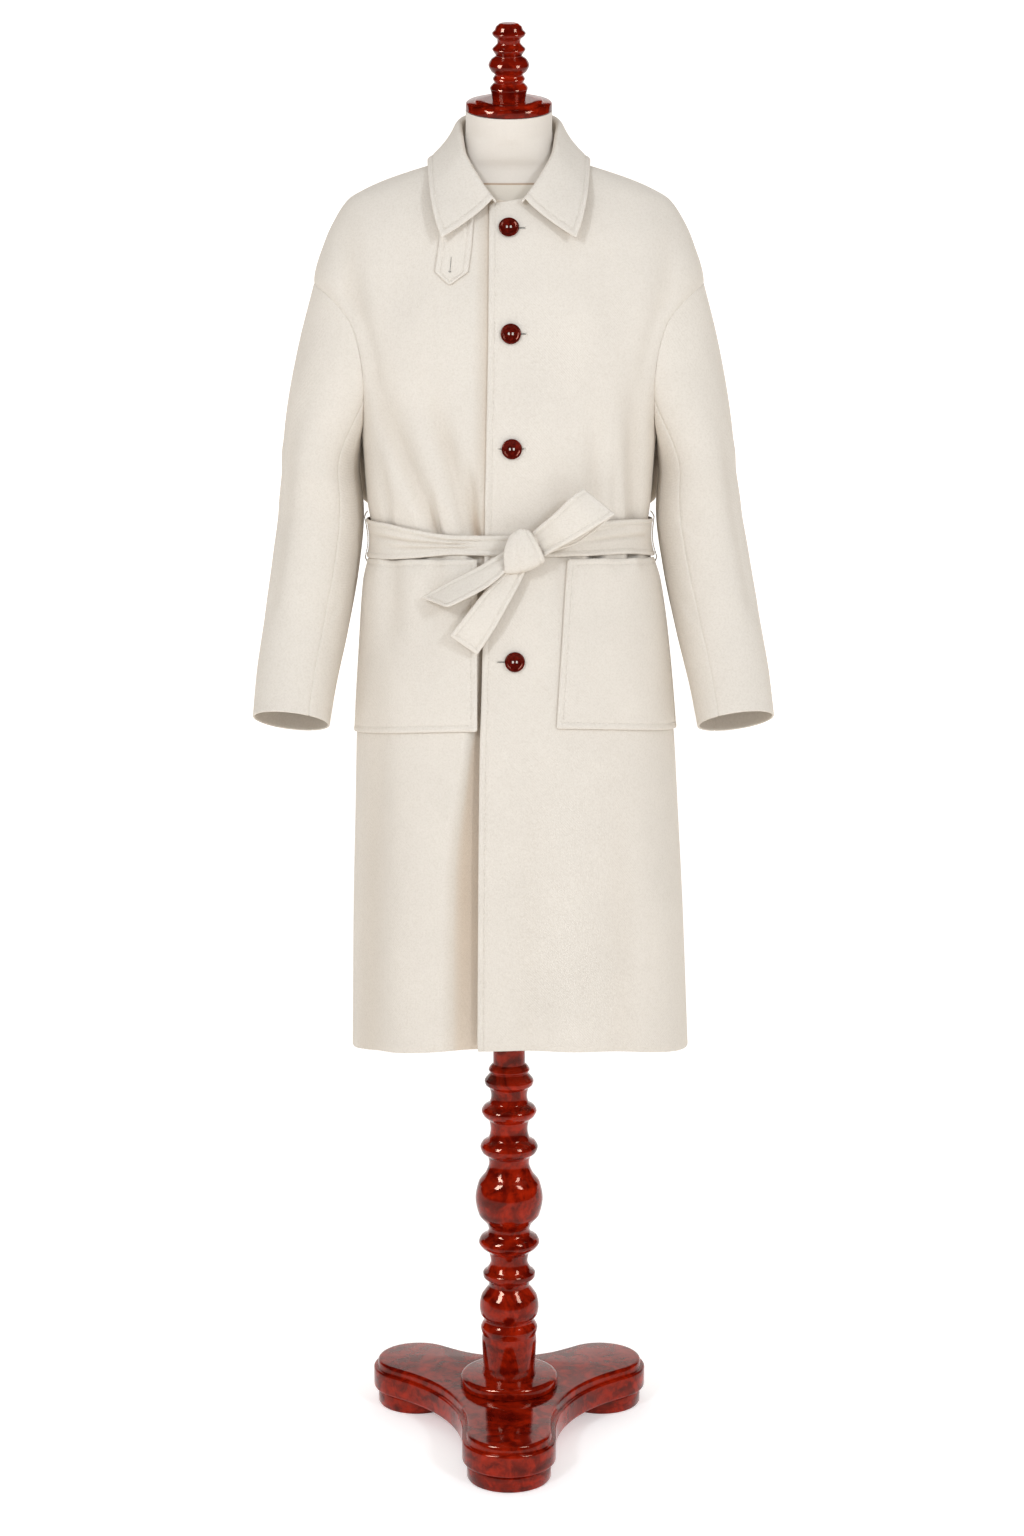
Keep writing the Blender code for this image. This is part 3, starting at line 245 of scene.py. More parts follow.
# The dress form, bottom to neck: half width, depth in front and behind, and lean
FORM = Sections(
    "height half_width front back lean",
    (0.8, 0.12, 0.08, 0.08, 0.0),
    (0.815, 0.15, 0.098, 0.096, 0.0),
    (0.86, 0.168, 0.106, 0.104, 0.0),
    (0.98, 0.17, 0.106, 0.104, 0.0),
    (1.156, 0.136, 0.09, 0.084, 0.0),
    (1.3, 0.158, 0.108, 0.1, 0.0),
    (1.4, 0.168, 0.106, 0.106, 0.0),
    (1.48, 0.176, 0.098, 0.104, 0.0),
    (1.525, 0.177, 0.082, 0.098, -0.003),
    (1.548, 0.171, 0.068, 0.09, -0.006),
    (1.565, 0.16, 0.059, 0.084, -0.008),
    (1.579, 0.145, 0.052, 0.079, -0.009),
    (1.5878, 0.126, 0.048, 0.072, -0.01),
    (1.5938, 0.106, 0.046, 0.066, -0.011),
    (1.5988, 0.084, 0.046, 0.061, -0.012),
    (1.606, 0.066, 0.049, 0.059, -0.014),
    (1.622, 0.055, 0.052, 0.054, -0.017),
)
FORM_NECK_RADIUS, FORM_NECK_FOOT = 0.0515, 0.024
FORM_AROUND, FORM_SOFTENING = 96, 10
FORM_RUNS = ((0.803, 0.86, 12), (0.87, 1.55, 60), (1.553, 1.622, 64))
FORM_SHARP, TURNED_SHARP, PLATE_SHARP = 50, 35, 32
FORM_SEAM_SINK, FORM_SEAM_REACH = 0.0008, 0.0014

# The turned post, plinth to form: radius at each height
POST_PROFILE = (
    (0.0748, 0.0345), (0.085, 0.0335), (0.122, 0.0352), (0.129, 0.0345), (0.131, 0.0352),
    (0.1373, 0.0366), (0.1425, 0.0345), (0.148, 0.032), (0.1565, 0.0368), (0.1657, 0.0381),
    (0.178, 0.0362), (0.188, 0.03), (0.1941, 0.0258), (0.2, 0.0272), (0.206, 0.0332),
    (0.211, 0.0335), (0.216, 0.028), (0.2264, 0.0237), (0.238, 0.0262), (0.246, 0.0355),
    (0.2519, 0.0388), (0.258, 0.0365), (0.264, 0.028), (0.2693, 0.0262), (0.276, 0.0285),
    (0.29, 0.0392), (0.3107, 0.0432), (0.331, 0.0392), (0.345, 0.0295), (0.3572, 0.0256),
    (0.366, 0.0275), (0.372, 0.0345), (0.3785, 0.0367), (0.385, 0.0335), (0.39, 0.0262),
    (0.4023, 0.0237), (0.413, 0.0255), (0.42, 0.0325), (0.4261, 0.0351), (0.432, 0.0322),
    (0.437, 0.025), (0.4458, 0.0229), (0.456, 0.025), (0.461, 0.0302), (0.4656, 0.0312),
    (0.472, 0.027), (0.476, 0.024), (0.48, 0.0261), (0.485, 0.0235), (0.488, SHAFT_RADIUS),
)

# The finial along the neck's axis: radius at each distance above its seat on the cap
FINIAL_SEAT = 0.0123
FINIAL_TIP = [(0.0879, 0.0118), (0.0885, 0.01), (0.0887, 0.007)]
FINIAL_PROFILE = (
    (0.0, 0.0195), (0.009, 0.0212), (0.0135, 0.0226), (0.018, 0.0195), (0.02, 0.0173),
    (0.0245, 0.0191), (0.029, 0.0168), (0.034, 0.0215), (0.0405, 0.0242), (0.047, 0.0212),
    (0.0515, 0.0157), (0.055, 0.0175), (0.059, 0.0197), (0.063, 0.016), (0.0665, 0.0136),
    (0.07, 0.014), (0.075, 0.019), (0.0775, 0.0199), (0.081, 0.0168), (0.085, 0.0152),
    (0.087, 0.0125),
)

# The belt: top and bottom edge at each angle from the front, viewer's left to right
BELT = Sections(
    "angle top bottom",
    (-180, 1.18, 1.134), (-90, 1.1796, 1.1331), (-60, 1.1785, 1.1345), (-38, 1.172, 1.1385),
    (-18, 1.166, 1.144), (8, 1.166, 1.142), (28, 1.179, 1.142), (45, 1.183, 1.1425),
    (90, 1.1796, 1.1343), (180, 1.18, 1.134),
)

# The belt's bow: centre line of each band, its half width, and which way the width points
BAND_STEP = 0.01
BAND_COLUMNS = "share x y z half_width width_x width_y width_z"
TAIL_UPPER = (
    (0.006, -0.1385, 1.1435, 0.01, -0.22, 0.35, 0.9),
    (-0.0035, -0.1405, 1.1385, 0.011, -0.25, 0.4, 0.88),
    (-0.03, -0.147, 1.1215, 0.014, -0.33, 0.55, 0.76),
    (-0.06, -0.1465, 1.106, 0.0165, -0.42, 0.68, 0.6),
    (-0.0887, -0.142, 1.0905, 0.018, -0.48, 0.78, 0.4),
)
TAIL_LOWER = (
    (0.015, -0.137, 1.137, 0.008, 0.94, -0.05, -0.33),
    (0.005, -0.142, 1.1215, 0.0105, 0.92, -0.05, -0.38),
    (-0.014, -0.148, 1.096, 0.015, 0.88, -0.02, -0.47),
    (-0.032, -0.15, 1.069, 0.0175, 0.85, 0.0, -0.53),
    (-0.0533, -0.148, 1.0393, 0.019, 0.82, 0.0, -0.57),
)
BOW_FRONT = (
    (0.029, -0.139, 1.1525, 0.014, -0.7, 0.12, 0.7),
    (0.0395, -0.144, 1.161, 0.0155, -0.72, 0.12, 0.68),
    (0.065, -0.157, 1.18, 0.0182, -0.58, 0.06, 0.8),
    (0.0855, -0.159, 1.1955, 0.0212, -0.68, 0.02, 0.73),
    (0.104, -0.153, 1.208, 0.023, -0.78, 0.0, 0.63),
)
BOW_TURN = ((0.1061, -0.15085, 1.2095, 0.023, -0.78, 0.0, 0.63),)
BOW_BACK = (
    (0.033, -0.1315, 1.151, 0.011, -0.6, 0.1, 0.79),
    (0.044, -0.1345, 1.159, 0.012, -0.6, 0.1, 0.79),
    (0.0705, -0.144, 1.174, 0.017, -0.54, 0.06, 0.84),
    (0.089, -0.146, 1.1915, 0.0205, -0.66, 0.02, 0.75),
    (0.104, -0.1487, 1.208, 0.023, -0.78, 0.0, 0.63),
)
BOW = BOW_FRONT + BOW_TURN + BOW_BACK[::-1]
KNOT_CENTRE = Vector((0.02, -0.1381, 1.151))
KNOT_LEAN = radians(-16)

# The buttons: where each lies on the left front
BUTTONS = ((0.0, 1.5255), (0.0023, 1.4029), (0.0035, 1.2692), (0.0071, 1.003))

# The throat tab: middle and half width at each height, point to top
TAB = Sections(
    "height middle half_width",
    (1.46, -0.0688, 0.0012), (1.4612, -0.0687, 0.0026), (1.467, -0.0679, 0.0096),
    (1.4734, -0.067, 0.0174), (1.4752, -0.0668, 0.0185), (1.479, -0.0663, 0.0185),
    (1.51, -0.0622, 0.0183), (1.545, -0.06, 0.0182),
)

# The patch pockets: side, inner edge at top and foot, the outer edge's angle, and heights of top and foot
POCKETS = {
    "left": (1, 0.0702, 0.0575, 82, 1.1316, 0.923),
    "right": (-1, 0.0385, 0.0385, 82, 1.1308, 0.9192),
}
SIDES = (("left", 1), ("right", -1))

# Folds: x and height of the top, x and height of the foot, bow, half width at top and foot,
# and depth. A fold with a depth below 0 is a ridge.
FRONT_FOLDS = (
    # Drawn in by the belt, viewer's left
    (-0.176, 1.385, -0.078, 1.148, 0.002, 0.017, 0.01, 0.0078),
    (-0.108, 1.372, -0.045, 1.148, -0.005, 0.016, 0.009, 0.0086),
    (-0.052, 1.275, -0.037, 1.148, 0.0, 0.009, 0.005, 0.009),
    (-0.099, 1.236, -0.083, 1.148, 0.0, 0.006, 0.004, 0.0046),
    (-0.16, 1.29, -0.14, 1.148, 0.0, 0.008, 0.006, 0.003),
    # Drawn in by the belt, viewer's right
    (0.146, 1.385, 0.15, 1.148, -0.002, 0.015, 0.008, 0.0064),
    (0.101, 1.33, 0.105, 1.148, 0.002, 0.012, 0.007, 0.0046),
    (0.126, 1.268, 0.128, 1.148, 0.0, 0.007, 0.005, 0.002),
    (0.056, 1.275, 0.068, 1.148, 0.0, 0.013, 0.008, 0.0018),
    # From the shoulders to the underarms
    (-0.196, 1.566, -0.16, 1.325, 0.006, 0.016, 0.014, 0.0062),
    (0.194, 1.566, 0.162, 1.33, -0.006, 0.015, 0.013, 0.0044),
    (-0.112, 1.56, -0.13, 1.41, 0.0, 0.022, 0.018, 0.0022),
    (0.106, 1.556, 0.126, 1.395, 0.0, 0.024, 0.018, 0.002),
    # From the belt into the top of the skirt
    (-0.141, 0.985, -0.137, 1.166, 0.0, 0.016, 0.011, 0.0046),
    (-0.089, 1.02, -0.083, 1.166, 0.0, 0.014, 0.009, 0.004),
    (0.066, 1.02, 0.062, 1.166, 0.0, 0.014, 0.01, 0.003),
    # The skirt
    (-0.156, 1.085, -0.176, 0.4, 0.003, 0.015, 0.024, 0.009),
    (-0.104, 1.0, -0.118, 0.4, 0.0, 0.022, 0.032, -0.0036),
    (0.03, 1.06, 0.022, 0.4, 0.003, 0.018, 0.03, 0.0032),
    (0.074, 0.9, 0.076, 0.4, 0.0, 0.018, 0.026, -0.0022),
    (0.126, 1.01, 0.14, 0.4, -0.004, 0.02, 0.03, 0.0042),
)
# Short tucks under the belt's lower edge, which the pockets bridge
FRONT_TUCKS = (
    (0.103, 1.06, 0.1035, 1.158, 0.0, 0.01, 0.006, 0.0085),
    (0.15, 1.07, 0.1495, 1.158, 0.0, 0.008, 0.005, 0.0075),
    (-0.045, 1.04, -0.04, 1.158, 0.0, 0.01, 0.006, 0.008),
    (-0.106, 1.07, -0.104, 1.158, 0.0, 0.009, 0.006, 0.004),
)
BACK_FOLDS = (
    # Drawn in by the belt, above and below it
    (-0.126, 1.375, -0.104, 1.14, 0.003, 0.019, 0.009, 0.0048),
    (-0.064, 1.335, -0.054, 1.14, 0.0, 0.014, 0.008, 0.0054),
    (-0.012, 1.3, -0.017, 1.14, 0.0, 0.012, 0.007, 0.0036),
    (0.044, 1.362, 0.033, 1.14, -0.003, 0.017, 0.008, 0.0058),
    (0.09, 1.305, 0.079, 1.14, 0.0, 0.012, 0.007, 0.004),
    (0.146, 1.352, 0.129, 1.14, -0.002, 0.015, 0.008, 0.0044),
    (-0.128, 1.175, -0.152, 0.4, 0.004, 0.012, 0.032, 0.0064),
    (-0.068, 1.17, -0.08, 0.4, -0.003, 0.011, 0.036, 0.0072),
    (-0.006, 1.172, -0.002, 0.56, 0.003, 0.009, 0.03, 0.0052),
    (0.054, 1.17, 0.064, 0.4, 0.004, 0.012, 0.036, 0.0076),
    (0.116, 1.175, 0.138, 0.4, -0.003, 0.011, 0.03, 0.006),
    # Across the shoulder blades
    (-0.172, 1.505, -0.088, 1.405, 0.006, 0.02, 0.024, 0.0024),
    (0.166, 1.49, 0.08, 1.382, -0.006, 0.022, 0.026, 0.0028),
    (-0.178, 1.42, -0.11, 1.35, 0.004, 0.012, 0.015, 0.002),
    (0.18, 1.43, 0.116, 1.345, -0.004, 0.012, 0.015, 0.0018),
)
# On a sleeve: degrees from its outer line towards the front in place of x
SLEEVE_FOLDS = (
    (44, 1.4, 36, 1.05, 0.004, 0.016, 0.014, 0.0034),
    (18, 1.44, 10, 1.26, 0.0, 0.015, 0.012, 0.0026),
    (66, 1.24, 120, 1.17, 0.004, 0.016, 0.018, 0.0018),
    (84, 1.11, 140, 1.065, 0.003, 0.014, 0.016, 0.0015),
    (-38, 1.435, -28, 1.24, -0.003, 0.017, 0.013, 0.0034),
    (-78, 1.35, -92, 1.2, 0.0, 0.014, 0.011, 0.0034),
    (-66, 1.205, -146, 1.158, -0.003, 0.012, 0.012, 0.004),
    (-78, 1.14, -142, 1.104, -0.003, 0.01, 0.01, 0.003),
    (-92, 1.068, -150, 1.044, -0.002, 0.009, 0.01, 0.0022),
    (-20, 1.12, -34, 0.985, 0.002, 0.013, 0.015, 0.002),
)
SLEEVE_GIRTH = 0.058
# The back's swell over the belt: how far, its heights with their fades, and where across it begins
BLOUSE = 0.021
BLOUSE_FOOT, BLOUSE_FOOT_FADE, BLOUSE_TOP, BLOUSE_TOP_FADE = 1.187, 0.016, 1.325, 0.06
BLOUSE_FROM, BLOUSE_SPREAD = 0.66, 0.22
# Heights between which swells don't push out into the belt
BELT_ZONE_FOOT, BELT_ZONE_TOP, BELT_ZONE_FADE, BELT_HOLD = 1.112, 1.206, 0.016, 0.9
# How far from a side seam, in parts of the half width, and from an armhole the folds begin
SIDE_CLEAR, ARMHOLE_CLEAR = 0.05, 0.022
# Each fold is a trough between two low swells, and fades in from its top and out at its foot
SWELL_PLACE, SWELL_HEIGHT = 1.8, 0.18
FOLD_FADE_TOP, FOLD_FADE_FOOT = 0.5, 0.12
# On the belt: metres round from the front, and metres up from its lower edge
BELT_FOLDS = (
    (-0.24, 0.031, -0.024, 0.025, 0.0015, 0.0034, 0.0022, 0.0026),
    (-0.18, 0.013, -0.024, 0.016, -0.001, 0.003, 0.002, 0.0024),
    (-0.11, 0.037, -0.02, 0.033, 0.0, 0.0024, 0.0018, 0.0014),
    (0.04, 0.02, 0.2, 0.027, 0.001, 0.002, 0.0034, 0.002),
    (0.045, 0.032, 0.14, 0.037, 0.0, 0.0018, 0.0026, 0.0012),
    (-0.42, 0.02, -0.3, 0.026, 0.0, 0.004, 0.004, 0.0012),
    (0.3, 0.024, 0.42, 0.018, 0.0, 0.004, 0.004, 0.0012),
)
BELT_RADIUS, BELT_WIDTH, BELT_OUT = 0.15, 0.045, 0.0038

NECK_SEAM_HEIGHT, NECK_SEAM_SLOPE = 1.5873, 0.3
KNOT_TURN = Matrix.Rotation(KNOT_LEAN, 3, "Y")

# The knot's broad outer turn, from the knot's centre: centre line, half width and width direction
KNOT_CORE = Vector((0.015, 0.0105, 0.0165))
KNOT_END, KNOT_ROUND, KNOT_TWIST = 0.32, 0.8, 0.0035
KNOT_TURN_OVER = (
    (-0.003, 0.012, 0.016, 0.008, 1.0, 0.0, 0.1),
    (-0.0046, 0.0, 0.0238, 0.0085, 1.0, 0.0, 0.1),
    (-0.0056, -0.0095, 0.0258, 0.0098, 0.99, 0.0, 0.11),
    (-0.0064, -0.015, 0.018, 0.014, 0.98, 0.0, 0.14),
    (-0.0056, -0.0172, 0.004, 0.0198, 0.97, 0.0, 0.21),
    (-0.0024, -0.016, -0.0115, 0.023, 0.95, 0.0, 0.28),
    (0.0004, -0.0105, -0.0225, 0.024, 0.95, 0.0, 0.31),
    (0.0012, -0.0005, -0.0255, 0.0228, 0.95, 0.0, 0.31),
    (0.001, 0.0115, -0.021, 0.019, 0.95, 0.0, 0.31),
)
# Creases round the inner turns: place, sway and its lead, width, swing of the depth and its lead, depth
KNOT_CREASES = ((0.34, 0.05, 0.0, 0.05, 0.4, 0.4, 0.0011), (0.66, 0.04, 0.6, 0.045, -0.4, 0.0, 0.0009))
# Creases down the outer turn: place, slope, width, where each begins (or ends), over what reach, depth
TURN_CREASES = ((0.3, 0.1, 0.07, 0.18, 0.3, 0.0009), (0.62, -0.06, 0.06, 0.7, -0.35, 0.0008))
GATHER_WIDTH, GATHER_SHIFT = 0.09, 0.05

# How far each buttonhole reaches to the viewer's left and right of its button
BUTTONHOLES = ((-0.008, 0.0192), (-0.008, 0.018), (-0.015, 0.0152), (-0.0208, 0.006))
TAB_SLIT = ((-0.0688, 1.4732), (-0.067, 1.4907))
EYE_PLACE = 0.065
SLIT_LIFT, SLIT_THICKNESS = 0.00035, 0.0002
CORD_LIFT, CORD_SPACING, CORD_LENGTH, CORD_OFF = 0.0002, 0.001, 0.0017, 0.64

# The pocket mouths' gapes: where up a pocket they begin, how wide they are, and their places and depths
MOUTH_FROM, GAPE_WIDTH = 0.84, 0.07
GAPES = {
    "left": ((0.24, 0.003), (0.56, 0.0034), (0.86, 0.0012)),
    "right": ((0.3, 0.0012), (0.72, 0.0016)),
}

# A belt carrier: its height and how far it stands off the coat, and its two strands
CARRIER_HEIGHTS = (1.189, 1.187, 1.182, 1.157, 1.131, 1.127, 1.125)
CARRIER_OUT = (0.0016, 0.0042, 0.007, 0.007, 0.007, 0.0042, 0.0016)
CARRIER_ANGLE = radians(88)
STRAND_RADIUS, STRAND_OFF, STRAND_PITCH = 0.00045, 0.00042, 0.0028

# A button's thread: how far apart its holes and strands are, and the strand's arc
HOLE_OFF, STRAND_APART, THREAD_RADIUS = 0.0023, 0.0005, 0.00055
THREAD_FOOT, THREAD_REACH, THREAD_RISE = 0.0024, 0.0012, 0.0009

# Sections of the turned and moulded pieces: inset and height for the plate, height and radius for the others
PLATE_EDGE = (
    (0.006, PLATE_BOTTOM), (0.0028, PLATE_BOTTOM), (0.001, PLATE_BOTTOM + 0.0007),
    (0.0002, PLATE_BOTTOM + 0.002), (0.0, PLATE_BOTTOM + 0.0036), (0.0, 0.0478),
    (0.0004, 0.049), (0.0014, 0.0499), (0.003, 0.0502), (0.0046, 0.0503), (0.005, 0.0512),
    (0.0054, 0.054), (0.0058, 0.0572), (0.0066, 0.0588), (0.008, 0.0597), (0.01, PLATE_TOP),
)
FOOT_PROFILE = (
    (0.0, FOOT_RADIUS - 0.003), (0.0008, FOOT_RADIUS - 0.0012), (0.0028, FOOT_RADIUS),
    (0.0192, FOOT_RADIUS), (0.021, FOOT_RADIUS - 0.001),
    (PLATE_BOTTOM - SEAM, FOOT_RADIUS - 0.003),
)
PLINTH_PROFILE = (
    (PLATE_TOP + SEAM, PLINTH_RADIUS - 0.0012), (PLATE_TOP + 0.0012, PLINTH_RADIUS),
    (PLINTH_TOP - 0.0052, PLINTH_RADIUS), (PLINTH_TOP - 0.0026, PLINTH_RADIUS - 0.0008),
    (PLINTH_TOP - 0.0008, PLINTH_RADIUS - 0.0026), (PLINTH_TOP, PLINTH_RADIUS - 0.0056),
)
CAP_SECTION = (
    (0.0, 0.0496), (0.0004, 0.0508), (0.0013, 0.0515), (0.007, 0.0515), (0.0083, 0.051),
    (0.009, 0.05), (0.0092, 0.043), (0.0094, 0.0415), (0.0104, 0.0408), (0.0114, 0.0402),
    (0.012, 0.039), (0.012, 0.03),
)
BUTTON_SECTION = (
    (0.0, 0.0092), (0.0004, 0.0106), (0.0013, 0.0116), (0.0024, BUTTON_RADIUS),
    (0.0033, 0.0117), (0.0039, 0.0109), (0.004, 0.0101), (0.0037, 0.0093), (0.003, 0.0086),
    (0.0027, 0.0076), (0.0026, 0.004),
)

# How stitches and seams press into the cloth: depth, reach and the swell of a stitched edge
STITCH_LIFT = 0.00012
STITCH_INSET, COLLAR_STITCH, TAB_STITCH, BELT_STITCH, BOW_STITCH = 0.0065, 0.007, 0.0055, 0.0052, 0.005
CORNER_FADE = 0.002
PANEL_SOFTENING, COLLAR_SOFTENING = 2, 14
STITCH_SINK, STITCH_REACH, EDGE_SWELL = 0.0006, 0.0016, 0.0005
SEAM_SINK, SEAM_REACH, SEAM_CLOSE = 0.00025, 0.002, 0.6

# Painted shade, held on the cloth's points as a depth: in hollows, beside covered edges and on the wrong
# side
HOLLOW_PASSES = 26
FOLD_SHADE = 0.15
DIP_SHADE, DIP_SHADE_REACH = 0.2, 0.65
EDGE_SHADE, EDGE_SHADE_WIDTH = 0.0015, 0.024
EDGE_SHADE_FROM, EDGE_SHADE_FADE = 1.1, 0.06
WRONG_SIDE_SHADE = 0.0012
WHITE = (1.0, 1.0, 1.0)

# The stage: a floor and backdrop, and a ring of wall behind the other views
ROOM, WALL, RING_RADIUS, RING_SIDES = 9, 7, 8.8, 48
SURROUND_COLOUR = (0.945, 0.952, 0.965, 1)
# The lamps: place, size, which power and what share of it, and whether it only shines in the lacquer
LAMPS = (
    ("key_softbox", (-1.5, -3.0, 2.6), (0.35, 0.6), "key_power", 1.0, False),
    ("fill_softbox", (1.9, -2.9, 2.4), (0.32, 0.55), "fill_power", 1.0, False),
    ("key_strip", (-1.25, -1.0, 1.85), (0.55, 1.35), "strip_power", 1.0, True),
    ("fill_strip", (1.25, -1.0, 1.85), (0.45, 1.2), "strip_power", 0.42, True),
)
SOFT_COLOUR, SOFT_AIM = (0.86, 0.945, 1.06), 1.05
SHINE_COLOUR, SHINE_AIM = (1.0, 0.97, 0.93), 0.42
# The camera, as fitted to the view
SENSOR, FOCAL_PIXELS, FRAME_PIXELS = 36.0, 2676, 1536
CAMERA_PLACE, CAMERA_DIP = (-0.0017, -3.2694, 1.4), radians(9.16)

# Sets of a grid's edges
ALL_EDGES = ("start", "end", "low", "high")
LONG_EDGES = ("start", "end")
ROUND_EDGES = ("low", "high")


def fold_depth(across, up, folds):
    """How far a table of folds draws the cloth in: each is a trough between two low swells."""
    drawn = np.zeros_like(across)
    for top_x, top_z, foot_x, foot_z, bow, top_width, foot_width, depth in folds:
        run_x, run_z = foot_x - top_x, foot_z - top_z
        length = np.hypot(run_x, run_z)
        from_x, from_z = across - top_x, up - top_z
        along = (from_x * run_x + from_z * run_z) / length**2
        held = np.clip(along, 0, 1)
        aside = (from_x * run_z - from_z * run_x) / length - bow * 4 * held * (1 - held)
        place = aside / (top_width + (foot_width - top_width) * held)
        swell = bell(place - SWELL_PLACE, 1) + bell(place + SWELL_PLACE, 1)
        fade = ramp(along / FOLD_FADE_TOP) * ramp((1 - along) / FOLD_FADE_FOOT)
        drawn = drawn + depth * fade * (bell(place, 1) - SWELL_HEIGHT * swell)
    return drawn


def under_belt(drawn, height):
    """Keeps swells from pushing out into the belt."""
    near = ramp((height - BELT_ZONE_FOOT) / BELT_ZONE_FADE) * ramp((BELT_ZONE_TOP - height) / BELT_ZONE_FADE)
    return np.where(drawn < 0, drawn * (1 - BELT_HOLD * near), drawn)


def across_body(x, height):
    """How far from the body's middle x lies, 1 at its side."""
    return np.abs(x - BODY.at(height, "shift")) / BODY.at(height, "half_width")


def clear_of_seams(x, height):
    """0 on the side seams and armholes, 1 a few centimetres inside them."""
    side = ramp((1 - across_body(x, height)) / SIDE_CLEAR)
    armhole = ramp((ARMHOLE.at(height, "out") - np.abs(x)) / ARMHOLE_CLEAR)
    beside_sleeve = (height > UNDERARM) & (height < SHOULDER_DROP)
    return np.where(beside_sleeve, armhole, np.where(height > SHOULDER_DROP, 1.0, side))


def front_draw(x, height):
    """How far the folds draw the fronts in."""
    return under_belt(fold_depth(x, height, FRONT_FOLDS), height) * clear_of_seams(x, height)


def blouse(x, height):
    """How far the back swells out at its sides, above the belt."""
    across = across_body(x, height)
    beside = ramp((1 - across) / SIDE_CLEAR) * ramp((across - BLOUSE_FROM) / BLOUSE_SPREAD)
    above = ramp((height - BLOUSE_FOOT) / BLOUSE_FOOT_FADE)
    return BLOUSE * beside * above * ramp((BLOUSE_TOP - height) / BLOUSE_TOP_FADE)


def back_draw(x, height):
    """How far the folds draw the back in."""
    folds = under_belt(fold_depth(x, height, BACK_FOLDS), height)
    return (folds - blouse(x, height)) * clear_of_seams(x, height)


def sleeve_draw(turn, height):
    """How far the folds draw a sleeve in, all the way round."""
    folds = []
    for top, top_z, foot, *shape in SLEEVE_FOLDS:
        folds.append((radians(top) * SLEEVE_GIRTH, top_z, radians(foot) * SLEEVE_GIRTH, *shape))
    whole = 2 * pi * SLEEVE_GIRTH
    return sum(fold_depth(turn * SLEEVE_GIRTH - whole * k, height, folds) for k in (-1, 0, 1))


def ring_values(height):
    """The body's sizes at a height."""
    return [BODY.at(height, name) for name in ("half_width", "front", "back", "shift", "lean")]


def outside(x, y, height):
    """Below 1 inside the body's section at that height, 1 on it and above 1 outside."""
    half_width, front, back, shift, lean = ring_values(height)
    depth = np.where(y < lean, front, back)
    return (np.abs(x - shift) / half_width) ** SQUARENESS + (np.abs(y - lean) / depth) ** SQUARENESS


def outward(x, y, height):
    """The body's outward direction at a point."""
    step = 1e-4
    slope = (
        outside(x + step, y, height) - outside(x - step, y, height),
        outside(x, y + step, height) - outside(x, y - step, height),
        outside(x, y, height + step) - outside(x, y, height - step),
    )
    return unit(np.stack(slope, -1))


def depth_at(x, height, facing):
    """The y of the body at x and height, in front (-1) or behind (1)."""
    half_width, front, back, shift, lean = ring_values(height)
    depth = front if facing < 0 else back
    across = np.clip(np.abs(x - shift) / half_width, 0, 1)
    return lean + facing * depth * (1 - across**SQUARENESS) ** (1 / SQUARENESS)


def under_depth(x, height):
    """How far the right front dips to pass under the left front's edge."""
    past = x - CLOSING.at(height, "edge")
    width = CLOSING.at(height, "dip_width")
    return CLOSING.at(height, "dip") * ramp((past + width) / width)


def hang(points, normals, height, draw):
    """Moves points of the body in by draw, and lifts those in front."""
    _, front, _, _, lean = ring_values(height)
    frontness = np.clip((lean - points[..., 1]) / front, 0, 1)
    moved = points - normals * draw[..., None]
    moved[..., 2] += LIFT.at(height, "lift") * frontness**2
    return moved


def body_points(x, y, height, facing, offset, sunk=0.0):
    """The cloth's face at offset outside the body, with its folds and lift, and sunk further in."""
    points = np.stack([x, y, height], axis=-1)
    folds = front_draw(x, height) if facing < 0 else back_draw(x, height)
    return hang(points, outward(x, y, height), height, folds + sunk - offset)


def on_front(x, height, offset):
    """A place at offset outside the fronts."""
    x, height = np.asarray(x, float), np.asarray(height, float)
    return body_points(x, depth_at(x, height, -1), height, -1, offset)


def neckline(angle):
    """x and height of the neckline, from the back (0) to the front (pi)."""
    forward = np.maximum(-np.cos(angle), 0)
    behind = np.maximum(np.cos(angle), 0)
    height = NECK_POINT - NECK_FRONT_DROP * forward**1.4 + NECK_BACK_RISE * behind**1.5
    return NECK_HALF_WIDTH * np.sin(angle), height


def top_edge(share, neck_share, start, end):
    """x and height along the neckline and then the shoulder seam."""
    around = np.clip(share / neck_share, 0, 1)
    neck_x, neck_z = neckline(start + (end - start) * around)
    along = np.clip((share - neck_share) / (1 - neck_share), 0, 1)
    drop = NECK_POINT + (SHOULDER_DROP - NECK_POINT) * along**1.5
    on_neck = share <= neck_share
    return np.where(on_neck, neck_x, BODY.at(drop, "half_width")), np.where(on_neck, neck_z, drop)


def ring_angle(x, height):
    """The angle from the front at which the body's section reaches x."""
    half_width, shift = BODY.at(height, "half_width"), BODY.at(height, "shift")
    across = np.clip((x - shift) / half_width, -1, 1)
    return np.arcsin(np.sign(across) * np.abs(across) ** (SQUARENESS / 2))


def ring_point(angle, height):
    """x and y of the body's section at an angle from the front."""
    return oval(angle, *ring_values(height), 2 / SQUARENESS)


def oval(angle, half_width, front, back, shift, lean, power):
    """x and y of a rounded section at an angle from the front."""
    sine, cosine = np.sin(angle), np.cos(angle)
    x = shift + half_width * np.sign(sine) * np.abs(sine) ** power
    return x, lean + np.where(cosine > 0, -front, back) * np.abs(cosine) ** power


def panel_rise(high):
    """How far up the outline above the underarm each row lies: closer together at the shoulder."""
    return 1 - (1 - np.clip(high, 0, 1)) ** RISE_POWER


